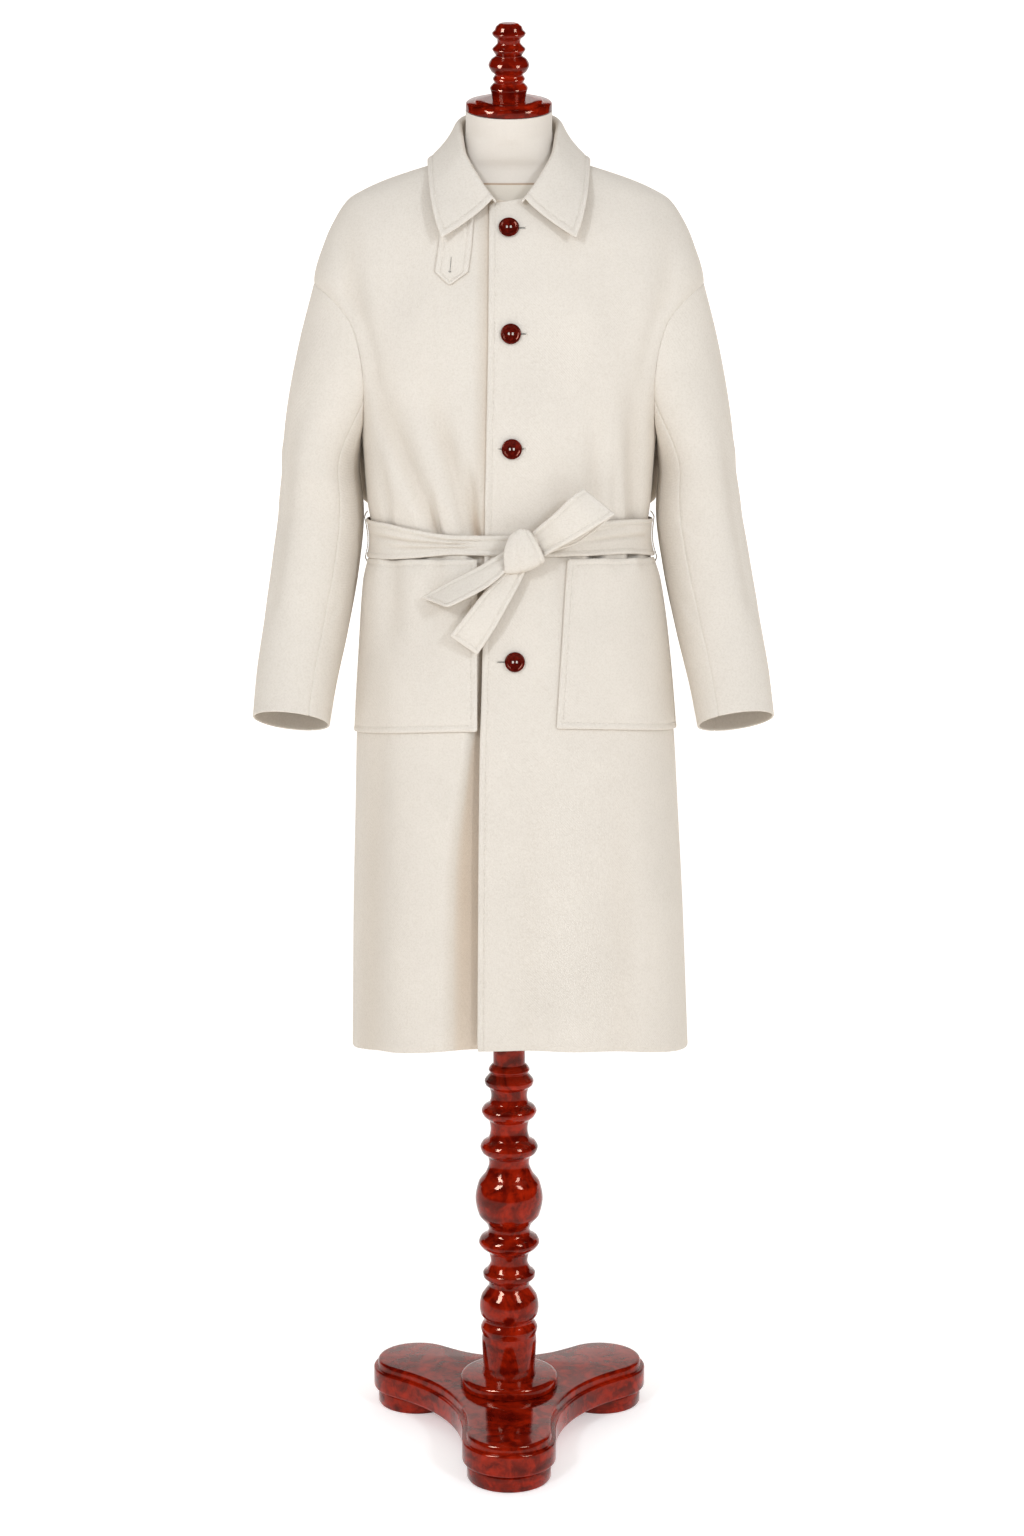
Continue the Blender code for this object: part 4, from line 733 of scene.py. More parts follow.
def front_angle(share, height, side, start_x):
    """The angle of a front's columns: three of the right front's follow its dip under the left."""
    begin = side * ring_angle(side * start_x(height), height)
    if side > 0:
        return begin + (pi / 2 - begin) * share
    edge, width = CLOSING.at(height, "edge"), CLOSING.at(height, "dip_width")
    turns = [begin] + [side * ring_angle(edge - width * part, height) for _, part in DIP_COLUMNS]
    turns.append(np.full_like(begin, pi / 2))
    stops = [0] + [stop for stop, _ in DIP_COLUMNS] + [1]
    angle = begin
    for i in range(len(stops) - 1):
        t = np.clip((share - stops[i]) / (stops[i + 1] - stops[i]), 0, 1)
        angle = angle + (turns[i + 1] - turns[i]) * t
    return angle


def panel(share, level, facing, side, start_x, offset):
    """A front or half back: share runs from its middle edge to its seam, level from hem to top.

    Below the underarm the panel follows the body's rings. Above it, the panel fills the outline
    between its middle edge, the armhole, and the neckline with the shoulder seam.
    """
    height = np.interp(level * PANEL_ROWS, np.arange(len(LOWER_ROWS)), LOWER_ROWS)
    if facing < 0:
        angle = front_angle(share, height, side, start_x)
    else:
        angle = pi - pi / 2 * share
    x, y = ring_point(side * angle, height)

    rise = panel_rise((level - LOWER_PART) / (1 - LOWER_PART))
    seat = np.full_like(share, UNDERARM)
    seat_angle = front_angle(share, seat, side, start_x) if facing < 0 else angle
    seat_x, _ = ring_point(seat_angle, seat)
    arm_z = UNDERARM + (SHOULDER_DROP - UNDERARM) * (1 - np.cos(pi * rise)) / 2
    arm_x = ARMHOLE.at(arm_z, "out")
    if facing < 0:
        end_x, neck_z = (float(value) for value in neckline(np.array(NECK_END_ANGLE)))
        low_start, top_start = start_x(np.array(UNDERARM)), start_x(np.array(NECK_POINT))
        top_x, top_z = top_edge(share, NECK_SHARE_FRONT, NECK_END_ANGLE, pi / 2)
        slip = np.clip(1 - share / NECK_SLIP, 0, 1)
        top_x = top_x + slip * (start_x(np.array(neck_z)) - end_x)
    else:
        neck_z, low_start, top_start = NECK_POINT + NECK_BACK_RISE, 0.0, 0.0
        top_x, top_z = top_edge(share, NECK_SHARE_BACK, 0.0, pi / 2)
    middle_z = UNDERARM + (neck_z - UNDERARM) * rise
    middle_x = start_x(middle_z) if facing < 0 else np.zeros_like(share)

    def coons(bottom, top, left, right, corners):
        start = (1 - rise) * corners[0] + rise * corners[1]
        end = (1 - rise) * corners[2] + rise * corners[3]
        flat = (1 - share) * start + share * end
        return (1 - rise) * bottom + rise * top + (1 - share) * left + share * right - flat

    corner_x = (low_start, top_start, BODY.at(UNDERARM, "half_width"), BODY.at(SHOULDER_DROP, "half_width"))
    corner_z = (UNDERARM, neck_z, UNDERARM, SHOULDER_DROP)
    upper_x = coons(seat_x, top_x, middle_x, arm_x, corner_x)
    upper_z = coons(seat, top_z, middle_z, arm_z, corner_z)
    above = level > LOWER_PART + 1e-9
    height = np.where(above, upper_z, height)
    x = np.where(above, side * upper_x, x)
    y = np.where(above, depth_at(x, height, facing), y)
    sunk = fold_depth(x, height, FRONT_TUCKS) if facing < 0 else 0.0
    if facing < 0 and side < 0:
        sunk = sunk + under_depth(x, height)
    points = body_points(x, y, height, facing, offset, sunk)
    points[..., 1] += facing * SEAM
    return points


def left_edge(height):
    """Where the left front begins, measured towards its own side."""
    return CLOSING.at(height, "edge")


def right_edge(height):
    """Where the right front begins, measured towards its own side."""
    return -CLOSING.at(height, "edge") - UNDERLAP


def armhole_loop(turn, side):
    """The armhole seam: turn 0 at the shoulder, a quarter in front, a half under the arm."""
    height = (SHOULDER_DROP + UNDERARM) / 2 + (SHOULDER_DROP - UNDERARM) / 2 * np.cos(turn)
    x = ARMHOLE.at(height, "out")
    y = np.where(np.sin(turn) >= 0, depth_at(x, height, -1), depth_at(x, height, 1))
    return np.stack([x * side, y, height], -1)


def sleeve_ring(turn, height, side):
    """A sleeve ring square to the sleeve's run, and that run's direction."""
    step = 0.004
    places = []
    for level in (height - step, height, height + step):
        level = np.clip(level, SLEEVE.keys[0], SLEEVE.keys[-1])
        out = side * SLEEVE.at(level, "out") + SLEEVE_SHIFT.at(level, "shift")
        places.append(np.stack([out, SLEEVE.at(level, "forward"), level], -1))
    run = unit(places[0] - places[2])
    across = np.array([side, 0.0, 0.0])
    across = unit(across - run * np.sum(across * run, -1, keepdims=True))
    forward = np.cross(run, across) * side
    half_width = SLEEVE.at(height, "half_width")[..., None]
    half_depth = SLEEVE.at(height, "half_depth")[..., None]
    cosine, sine = np.cos(turn)[..., None], np.sin(turn)[..., None]
    return places[1] + across * half_width * cosine + forward * half_depth * sine, run


def sleeve_skin(turn, level, side):
    """The sleeve's right side: level runs from the armhole (0) to the cuff (1)."""
    seam = armhole_loop(turn, side)
    ring, run = sleeve_ring(turn, np.full_like(turn, SLEEVE.keys[-1]), side)
    chord = ring - seam
    length = np.linalg.norm(chord, axis=-1, keepdims=True)
    topness = np.maximum(np.cos(turn), 0)[..., None]
    over = np.array([SLEEVE_CAP_LEAVE[0] * side, 0.0, SLEEVE_CAP_LEAVE[1]])
    leave = unit(chord / length * (1 - topness) + over * topness) * length
    cap = hermite(np.clip(level / SLEEVE_CAP_PART, 0, 1)[..., None], seam, leave, run * length, ring)
    below = np.clip((level - SLEEVE_CAP_PART) / (1 - SLEEVE_CAP_PART), 0, 1)
    arm, _ = sleeve_ring(turn, SLEEVE.keys[-1] + (SLEEVE.keys[0] - SLEEVE.keys[-1]) * below, side)
    return np.where((level > SLEEVE_CAP_PART)[..., None], arm, cap)


def sleeve(turn, level, side, offset):
    """The sleeve's cloth at offset outside its right side."""
    step = 0.004
    round_it = sleeve_skin(turn + step, level, side) - sleeve_skin(turn - step, level, side)
    upper, lower = np.maximum(level - step, 0), np.minimum(level + step, 1)
    down_it = sleeve_skin(turn, lower, side) - sleeve_skin(turn, upper, side)
    points = sleeve_skin(turn, level, side) + unit(np.cross(round_it, down_it) * side) * offset
    points[..., 0] += side * ARMHOLE_GAP
    return points


def sleeve_turn(share, piece):
    """The turn of a sleeve's columns, which meet the armhole at the panels' rows."""
    seam = SLEEVE_SEAM_ROW / UPPER_ROWS
    if piece == "top":
        turn = pi * (1 - panel_rise(1 - np.abs(share) * (1 - seam)))
        return np.sign(share) * (turn - SLEEVE_SEAM_GAP * np.abs(share))
    turn = pi * (1 - panel_rise(np.abs(share) * seam)) + SLEEVE_SEAM_GAP * np.abs(share)
    return np.where(share < 0, turn, 2 * pi - turn)


def collar(around, level, offset):
    """The collar: around runs from one front end (-1) past the back (0) to the other (1).

    level runs up the stand to the roll line and down the fall to its edge.
    """
    angle = np.abs(around) * NECK_END_ANGLE
    side = np.where(around < 0, -1.0, 1.0)
    degrees = np.degrees(angle)
    neck_x, neck_z = neckline(angle)
    neck_y = np.where(np.cos(angle) > 0, depth_at(neck_x, neck_z, 1), depth_at(neck_x, neck_z, -1))
    forward = np.maximum(-np.cos(angle), 0)
    rise = COLLAR_RISE_BACK + (COLLAR_RISE_FRONT - COLLAR_RISE_BACK) * forward
    seat_x = neck_x - np.sin(angle) * COLLAR_INSET
    seat_y = neck_y - np.cos(angle) * COLLAR_INSET
    seat = np.stack([seat_x, seat_y, neck_z + rise], -1)
    roll, edge = COLLAR.points(degrees, "roll_"), COLLAR.points(degrees, "edge_")
    outward_run = edge - seat
    outward_run[..., 2] = 0
    outward_run = unit(outward_run)
    down = np.array([0, 0, COLLAR_FOLD])
    inner_shoulder = roll - outward_run * COLLAR_FOLD - down
    outer_shoulder = roll + outward_run * COLLAR_FOLD - down
    # The section's five stations, joined by straight runs that the fold rounds
    stations = [seat, inner_shoulder, roll, outer_shoulder, edge]
    places, roll_level = COLLAR_LEVELS, COLLAR_LEVELS[2]
    center = np.zeros(around.shape + (3,))
    for i in range(4):
        t = np.clip((level - places[i]) / (places[i + 1] - places[i]), 0, 1)[..., None]
        inside = ((level >= places[i]) & (level <= places[i + 1]))[..., None]
        center = np.where(inside, stations[i] * (1 - t) + stations[i + 1] * t, center)
    fallen = np.clip((level - places[3]) / (1 - places[3]), 0, 1)[..., None]
    center = center - outward_run * COLLAR_SAG * 4 * fallen * (1 - fallen)
    droop = COLLAR_DROOP.at(degrees, "droop")[..., None] * fallen**2
    center = center - droop * (outward_run * 0.3 + np.array([0, 0, 1.0]))
    # The right side faces the neck on the stand, up at the roll line, and out on the fall
    turn = smooth(level, places, COLLAR_FACING)
    fall_run = edge - roll
    slope = np.linalg.norm(fall_run[..., :2], axis=-1) / np.maximum(-fall_run[..., 2], 1e-6)
    past_roll = ramp((level - roll_level) / (places[3] - roll_level))
    tilt = np.where(level > roll_level, np.arctan(slope) * past_roll, 0.0)
    facing = np.sin(turn - tilt)[..., None] * outward_run
    facing[..., 2] += np.cos(turn - tilt)
    points = center + facing * offset
    points[..., 0] *= side
    return points


def leg_outline(inset):
    """The tripod plate's outline: three round leg ends joined by hollow arcs."""
    legs = [radians(angle) for angle in LEG_ANGLES]
    radius = LEG_END_RADIUS - inset
    points = []
    for leg, following in zip(legs, legs[1:] + [legs[0] + 2 * pi]):
        end = Vector((cos(leg), sin(leg))) * LEG_REACH
        for turn in np.linspace(leg - pi / 2, leg + pi / 2, 41):
            points.append(end + Vector((cos(turn), sin(turn))) * radius)
        half_gap = (following - leg) / 2
        middle = leg + half_gap
        reach = LEG_STRAIGHT_FROM * LEG_REACH / cos(half_gap)
        hollow = Vector((cos(middle), sin(middle))) * reach
        hollow_radius = reach * sin(half_gap) - radius
        for turn in np.linspace(leg - pi / 2, following - pi * 1.5, 31):
            points.append(hollow + Vector((cos(turn), sin(turn))) * hollow_radius)
    return points


def spread(count, start=1.0, end=1.0, part=0.12):
    """Places from 0 to 1, closer together by these factors near the start and the end."""
    middle = np.linspace(0, 1, 400)
    density = 1 + (start - 1) * (1 - ramp(middle / part)) + (end - 1) * (1 - ramp((1 - middle) / part))
    total = np.concatenate([[0], np.cumsum((density[1:] + density[:-1]) / 2)])
    return np.interp(np.linspace(0, total[-1], count + 1), total, middle)


def grid_normals(grid, out, wrap):
    """The cloth's outward direction at each point of a grid."""
    if wrap:
        across = np.roll(grid, -1, 1) - np.roll(grid, 1, 1)
    else:
        across = np.gradient(grid, axis=1)
    normals = np.cross(across, np.gradient(grid, axis=0))
    normals = np.where(np.sum(normals * out, -1, keepdims=True) < 0, -normals, normals)
    return unit(normals)


def soften(grid, passes):
    """Smooths a grid along its columns, with its first and last rows held."""
    for _ in range(passes):
        grid[1:-1] = grid[1:-1] * 0.5 + (grid[2:] + grid[:-2]) * 0.25
    return grid


def grid_quads(index, wrap):
    """The quads of a grid of point numbers."""
    current = index if wrap else index[:, :-1]
    following = np.roll(index, -1, 1) if wrap else index[:, 1:]
    return np.stack([current[:-1], following[:-1], following[1:], current[1:]], -1).reshape(-1, 4)


def hollows(grid, normals, wrap):
    """How far each point of a grid lies under the mean of its surroundings."""
    around = grid
    for _ in range(HOLLOW_PASSES):
        sides = np.pad(around, ((0, 0), (1, 1), (0, 0)), mode="wrap" if wrap else "edge")
        around = around * 0.5 + (sides[:, 2:] + sides[:, :-2]) * 0.25
        ends = np.pad(around, ((1, 1), (0, 0), (0, 0)), mode="edge")
        around = around * 0.5 + (ends[2:] + ends[:-2]) * 0.25
    return np.sum((around - grid) * normals, -1)


def edge_distance(grid, edge):
    """How far each point of a grid lies from one of its edges, along the cloth."""
    axis = 1 if edge in ("start", "end") else 0
    turned_round = edge in ("end", "high")
    steps = np.linalg.norm(np.diff(grid, axis=axis), axis=-1)
    steps = np.flip(steps, axis) if turned_round else steps
    run = np.cumsum(steps, axis)
    run = np.concatenate([np.zeros_like(np.take(run, [0], axis)), run], axis)
    return np.flip(run, axis) if turned_round else run


def inset_paths(grid, normals, distances, inset):
    """The lines that run at this distance inside the stitched edges, each ending where two meet."""
    paths = []
    for edge, far in distances.items():
        others = [other for name, other in distances.items() if name != edge]
        layers = [grid, normals, far[..., None]] + [other[..., None] for other in others]
        table = np.concatenate(layers, -1)
        table = table if edge in ("start", "end") else table.transpose(1, 0, 2)
        table = table[:, ::-1] if edge in ("end", "high") else table
        path = []
        for line in table:
            i = int(np.searchsorted(line[:, 6], inset))
            if 0 < i < len(line):
                t = (inset - line[i - 1, 6]) / (line[i, 6] - line[i - 1, 6])
                point = line[i - 1] * (1 - t) + line[i] * t
                if np.all(point[7:] >= inset * 0.97):
                    path.append(point[:3] + unit(point[3:6]) * STITCH_LIFT)
        if len(path) > 2:
            paths.append(np.array(path))
    return paths


class Cloth:
    """A piece of cloth on a grid, from which its shell, its stitch lines and its cut come."""

    def __init__(
        self, face, columns, rows, free=(), stitched=(), inset=STITCH_INSET, draw=None, wrap=False, passes=0
    ):
        """free are the edges that end in air, stitched those with a row of stitches at the inset."""
        u, v = np.meshgrid(columns, rows)
        grid = face(u, v, 0.0)
        out = unit(face(u, v, 0.001) - grid)
        grid = soften(grid, passes)
        normals = grid_normals(grid, out, wrap)
        depth = np.zeros(u.shape) if draw is None else draw(u, v)
        self.distances = {edge: edge_distance(grid, edge) for edge in stitched}
        for edge in ROUND_EDGES if wrap else ALL_EDGES:
            far = edge_distance(grid, edge)
            if edge in stitched:
                inside = 1.0
                for name, other in self.distances.items():
                    if name != edge:
                        inside = inside * ramp((other - inset + CORNER_FADE) / CORNER_FADE)
                depth = depth + STITCH_SINK * inside * bell(far - inset, STITCH_REACH)
                depth = depth - EDGE_SWELL * bell(far - inset * 0.4, inset * 0.35)
            elif edge not in free:
                depth = depth + SEAM_SINK * bell(far, SEAM_REACH)
        self.grid = grid - normals * depth[..., None]
        self.normals = grid_normals(self.grid, out, wrap)
        # The hollow depth drives painted shade in the wool's colour
        self.hollow = hollows(self.grid, self.normals, wrap)
        self.free, self.inset, self.wrap = free, inset, wrap
        self.uv = np.stack([edge_distance(self.grid, "start"), edge_distance(self.grid, "low")], -1)

    def cut(self):
        """Width and length of the piece laid flat, and its area."""
        g = self.grid
        first = np.cross(g[1:, 1:] - g[:-1, :-1], g[1:, :-1] - g[:-1, 1:])
        area = float(np.linalg.norm(first, axis=-1).sum() / 2)
        if self.wrap:
            joined = np.cross(g[1:, 0] - g[:-1, -1], g[1:, -1] - g[:-1, 0])
            area += float(np.linalg.norm(joined, axis=-1).sum() / 2)
        closing = float(np.linalg.norm(g[:, 0] - g[:, -1], axis=-1).max()) if self.wrap else 0.0
        width = float(self.uv[..., 0].max()) + closing
        length = float(self.uv[..., 1].max())
        return (round(width, 3), round(length, 3)), round(min(area, width * length * 0.999), 4)

    def paths(self):
        return inset_paths(self.grid, self.normals, self.distances, self.inset)

    def mesh(self, name, thickness):
        """The shell: right side, wrong side, and rims that are round where the edge is free."""
        rows, columns = self.grid.shape[:2]
        index = np.arange(rows * columns).reshape(rows, columns)
        grid, normals = self.grid, self.normals
        if self.wrap:
            free = np.ones(columns)
            loops = [(index[-1], grid[-1] - grid[-2], free), (index[0], grid[0] - grid[1], free)]
        else:
            sides = [
                ("low", index[0, :-1], grid[0] - grid[1], slice(None, -1)),
                ("end", index[:-1, -1], grid[:, -1] - grid[:, -2], slice(None, -1)),
                ("high", index[-1, :0:-1], grid[-1] - grid[-2], slice(None, 0, -1)),
                ("start", index[:0:-1, 0], grid[:, 0] - grid[:, 1], slice(None, 0, -1)),
            ]
            ring = np.concatenate([part for _, part, _, _ in sides])
            away = np.concatenate([unit(run)[cut] for _, _, run, cut in sides])
            bulge = [1.0 if edge in self.free else SEAM_CLOSE for edge, part, _, _ in sides for _ in part]
            loops = [(ring, away, np.array(bulge))]
        flat_grid, flat_normals = grid.reshape(-1, 3), normals.reshape(-1, 3)
        points = [flat_grid, flat_grid - flat_normals * thickness]
        uvs = [self.uv.reshape(-1, 2)] * 2
        flat_hollow = self.hollow.ravel()
        # The wrong side gets an even painted shade; the rims take the right side's
        hollow = [flat_hollow, np.full_like(flat_hollow, WRONG_SIDE_SHADE)]
        count = rows * columns
        quads = grid_quads(index, self.wrap)
        faces = [quads, quads[:, ::-1] + count]
        base = 2 * count
        for number, (ring, away, bulge) in enumerate(loops):
            n = flat_normals[ring]
            away = unit(away - n * np.sum(away * n, -1, keepdims=True))
            middle = flat_grid[ring] - n * thickness / 2
            steps = [ring]
            for turn in (pi / 4, pi / 2, pi * 3 / 4):
                out = away * (sin(turn) * thickness / 2 * bulge)[:, None]
                points.append(middle + n * cos(turn) * thickness / 2 + out)
                uvs.append(self.uv.reshape(-1, 2)[ring])
                hollow.append(flat_hollow[ring])
                steps.append(base + np.arange(len(ring)))
                base += len(ring)
            steps.append(ring + count)
            flip = self.wrap and number == 0
            for first, second in zip(steps, steps[1:]):
                rim = np.stack([np.roll(first, -1), first, second, np.roll(second, -1)], -1)
                faces.append(rim[:, ::-1] if flip else rim)
        mesh = mesh_from(name, np.concatenate(points), np.concatenate(faces), np.concatenate(uvs))
        # The painted shade's depth, read by the wool material
        layer = mesh.attributes.new("hollow", "FLOAT", "POINT")
        layer.data.foreach_set("value", np.concatenate(hollow).astype(np.float32))
        return mesh


def mesh_from(name, points, faces, uvs=None):
    """A smooth mesh of quads at its place in the frame, faces outwards."""
    mesh = bpy.data.meshes.new(name)
    mesh.from_pydata((points + np.array(FRAME_SHIFT)).tolist(), [], faces.tolist())
    if uvs is not None:
        layer = mesh.uv_layers.new(name="cloth")
        loops = np.empty(len(mesh.loops), dtype=np.int32)
        mesh.loops.foreach_get("vertex_index", loops)
        layer.data.foreach_set("uv", uvs[loops].astype(np.float32).ravel())
    bm = bmesh.new()
    bm.from_mesh(mesh)
    if bm.calc_volume(signed=True) < 0:
        bmesh.ops.reverse_faces(bm, faces=bm.faces[:])
    bm.to_mesh(mesh)
    bm.free()
    mesh.shade_smooth()
    return mesh


def add_piece(name, mesh, material, slot, *nodes):
    """A piece of the object on its body, in place of these frame nodes."""
    piece = bpy.data.objects.new(name, mesh)
    bpy.context.scene.collection.objects.link(piece)
    mesh.materials.clear()
    mesh.materials.append(material)
    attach(piece, "root")
    if nodes:
        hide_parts(*nodes)
    return piece


def mesh_of(bm, name, sharp=None):
    """A finished bmesh as a smooth mesh, with edges over an angle in degrees kept sharp."""
    mesh = bpy.data.meshes.new(name)
    bm.to_mesh(mesh)
    bm.free()
    mesh.shade_smooth()
    if sharp:
        mesh.set_sharp_from_angle(angle=radians(sharp))
    return mesh


def joined_meshes(name, meshes):
    """Several meshes as one."""
    bm = bmesh.new()
    for mesh in meshes:
        bm.from_mesh(mesh)
        bpy.data.meshes.remove(mesh)
    return mesh_of(bm, name)


def tube(path, radius, sides=8):
    """Points and quads of a round thread along a path, closed at its ends."""
    run = unit(np.gradient(path, axis=0))
    aside = unit(np.cross(run, np.where(np.abs(run[:, 2:]) > 0.9, [[1.0, 0, 0]], [[0, 0, 1.0]])))
    lift = np.cross(run, aside)
    turns = np.arange(sides) / sides * 2 * pi
    cosine, sine = np.cos(turns)[None, :, None], np.sin(turns)[None, :, None]
    rings = path[:, None] + radius * (aside[:, None] * cosine + lift[:, None] * sine)
    first, last = np.repeat(path[:1, None], sides, 1), np.repeat(path[-1:, None], sides, 1)
    rings = np.concatenate([first, rings, last])
    index = np.arange(rings.shape[0] * sides).reshape(-1, sides)
    return rings.reshape(-1, 3), grid_quads(index, True)


def lathe(name, profile, turns, place=None):
    """A turned mesh from a profile of heights and radii, at its place in the frame."""
    bm = bmesh.new()
    outline = [(profile[0][0], 0.0), *profile, (profile[-1][0], 0.0)]
    verts = [bm.verts.new((radius, 0, height)) for height, radius in outline]
    edges = [bm.edges.new(pair) for pair in zip(verts, verts[1:])]
    whole = {"axis": (0, 0, 1), "cent": (0, 0, 0), "angle": 2 * pi, "steps": turns, "use_merge": True}
    bmesh.ops.spin(bm, geom=verts + edges, **whole)
    bmesh.ops.remove_doubles(bm, verts=bm.verts[:], dist=1e-6)
    bmesh.ops.recalc_face_normals(bm, faces=bm.faces[:])
    bmesh.ops.transform(bm, matrix=Matrix.Translation(FRAME_SHIFT) @ (place or Matrix()), verts=bm.verts[:])
    return mesh_of(bm, name, TURNED_SHARP)


def fine_profile(profile, step):
    """A turned profile with its beads and coves drawn as smooth curves."""
    heights, radii = np.array(profile).T
    fine = np.arange(heights[0], heights[-1], step)
    fine = np.unique(np.concatenate([fine, heights]))
    return list(zip(fine.tolist(), smooth(fine, heights, radii).tolist()))


def stitch_tree():
    """Geometry Nodes that lay one rounded stitch after another along a line."""
    found = bpy.data.node_groups.get("stitch_row")
    if found:
        return found
    tree = bpy.data.node_groups.new("stitch_row", "GeometryNodeTree")
    floats = [(title, "Float") for title in ("Spacing", "Length", "Thickness")]
    for title, kind in [("Geometry", "Geometry"), *floats, ("Material", "Material")]:
        tree.interface.new_socket(title, in_out="INPUT", socket_type=f"NodeSocket{kind}")
    tree.interface.new_socket("Geometry", in_out="OUTPUT", socket_type="NodeSocketGeometry")
    add = tree.nodes.new
    given, result = add("NodeGroupInput"), add("NodeGroupOutput")
    line, even = add("GeometryNodeMeshToCurve"), add("GeometryNodeResampleCurve")
    even.mode = "LENGTH"
    stitch, place = add("GeometryNodeMeshUVSphere"), add("GeometryNodeInstanceOnPoints")
    for title, value in (("Segments", 6), ("Rings", 4), ("Radius", 0.5)):
        stitch.inputs[title].default_value = value
    run, aim = add("GeometryNodeInputTangent"), add("FunctionNodeAlignRotationToVector")
    aim.axis = "X"
    size, real = add("ShaderNodeCombineXYZ"), add("GeometryNodeRealizeInstances")
    soft, paint = add("GeometryNodeSetShadeSmooth"), add("GeometryNodeSetMaterial")
    for source, out, target, into in (
        (given, "Geometry", line, "Mesh"),
        (line, "Curve", even, "Curve"),
        (given, "Spacing", even, "Length"),
        (even, "Curve", place, "Points"),
        (stitch, "Mesh", place, "Instance"),
        (run, "Tangent", aim, "Vector"),
        (aim, "Rotation", place, "Rotation"),
        (given, "Length", size, "X"),
        (given, "Thickness", size, "Y"),
        (given, "Thickness", size, "Z"),
        (size, "Vector", place, "Scale"),
        (place, "Instances", real, "Geometry"),
        (real, "Geometry", soft, "Geometry"),
        (soft, "Geometry", paint, "Geometry"),
        (given, "Material", paint, "Material"),
        (paint, "Geometry", result, "Geometry"),
    ):
        tree.links.new(source.outputs[out], target.inputs[into])
    return tree


def stitches(name, paths, spacing, length, thickness, material):
    """Rows of stitches along these lines, as one plain mesh."""
    points, edges = [], []
    for path in paths:
        first = len(points)
        points += (np.asarray(path) + np.array(FRAME_SHIFT)).tolist()
        edges += [(i, i + 1) for i in range(first, len(points) - 1)]
    mesh = bpy.data.meshes.new(name)
    mesh.from_pydata(points, edges, [])
    rows = bpy.data.objects.new(name, mesh)
    bpy.context.scene.collection.objects.link(rows)
    modifier = rows.modifiers.new("stitches", "NODES")
    modifier.node_group = stitch_tree()
    sizes = {"Spacing": spacing, "Length": length, "Thickness": thickness, "Material": material}
    for item in modifier.node_group.interface.items_tree:
        if item.in_out == "INPUT" and item.name in sizes:
            modifier[item.identifier] = sizes[item.name]
    evaluated = rows.evaluated_get(bpy.context.evaluated_depsgraph_get())
    plain = bpy.data.meshes.new_from_object(evaluated)
    if not len(plain.polygons):
        raise RuntimeError(f"{name} has no stitches")
    bpy.data.objects.remove(rows)
    return add_piece(name, plain, material, "thread")


def topstitch(name, cloth, finishes):
    """The stitched lines of a piece of cloth."""
    sizes = bpy.context.scene.coat_sizes
    row = sizes.stitch_spacing, sizes.stitch_length, sizes.stitch_thickness
    return stitches(name, cloth.paths(), *row, thread_material(finishes))


class Nodes:
    """A material's nodes, added one by one."""

    def __init__(self, name):
        self.material = bpy.data.materials.new(name)
        self.material.use_nodes = True
        self.tree = self.material.node_tree
        self.shader = self.tree.nodes["Principled BSDF"]
        self.where = self.add("TexCoord").outputs["Object"]

    def put(self, socket, value):
        """Sets a socket to a value or links it to another socket."""
        if isinstance(value, bpy.types.NodeSocket):
            self.tree.links.new(value, socket)
        else:
            socket.default_value = value

    def add(self, kind, settings=None, **inputs):
        node = self.tree.nodes.new(f"ShaderNode{kind}")
        for key, value in (settings or {}).items():
            setattr(node, key, value)
        for key, value in inputs.items():
            self.put(node.inputs[key.replace("_", " ")], value)
        return node

    def noise(self, scale, detail=3.0, roughness=0.5, distortion=0.0):
        inputs = {"Scale": scale, "Detail": detail, "Roughness": roughness, "Distortion": distortion}
        return self.add("TexNoise", Vector=self.where, **inputs).outputs["Fac"]

    def wave(self, direction, scale, distortion, detail=2.0, where=None):
        inputs = {"Scale": scale, "Distortion": distortion, "Detail": detail, "Vector": where or self.where}
        return self.add("TexWave", {"bands_direction": direction}, **inputs).outputs["Fac"]

    def remap(self, value, start=0.0, end=1.0, low=0.0, high=1.0):
        """Moves values between start and end to between low and high."""
        inputs = {"Value": value, "From_Min": start, "From_Max": end, "To_Min": low, "To_Max": high}
        return self.add("MapRange", **inputs).outputs["Result"]

    def ramp(self, value, *stops):
        """Colours at places along a value."""
        node = self.add("ValToRGB", Fac=value)
        while len(node.color_ramp.elements) < len(stops):
            node.color_ramp.elements.new(0.5)
        for element, (place, colour) in zip(node.color_ramp.elements, stops):
            element.position = place
            element.color = (*colour, 1)
        return node.outputs["Color"]

    def tint(self, share, first, second, blend="MULTIPLY"):
        """One colour laid over another. The node has sockets of one name for each kind of data."""
        node = self.add("Mix", {"data_type": "RGBA", "blend_type": blend})
        for i, value in ((0, share), (6, first), (7, second)):
            self.put(node.inputs[i], value)
        return node.outputs[2]

    def maths(self, operation, *values):
        node = self.add("Math", {"operation": operation})
        for socket, value in zip(node.inputs, values):
            self.put(socket, value)
        return node.outputs[0]

    def weigh(self, *shares):
        """A sum of values, each times its weight."""
        total = None
        for value, weight in shares:
            part = value if weight == 1 else self.maths("MULTIPLY", value, weight)
            total = part if total is None else self.maths("ADD", total, part)
        return total

    def bump(self, height, strength, distance):
        node = self.add("Bump", Height=height, Strength=strength, Distance=distance)
        self.put(self.shader.inputs["Normal"], node.outputs["Normal"])

    def finish(self, **inputs):
        for key, value in inputs.items():
            self.put(self.shader.inputs[key.replace("_", " ")], value)


def once(name):
    """Makes a function that fills in a material's nodes into one that builds it once and gives it back."""

    def wrap(fill):
        def get(colours):
            if name not in bpy.data.materials:
                fill(Nodes(name), colours)
            return bpy.data.materials[name]

        get.__doc__ = fill.__doc__
        return get

    return wrap


def shade(colour, factor):
    return tuple(min(1.0, c * factor) for c in colour[:3])


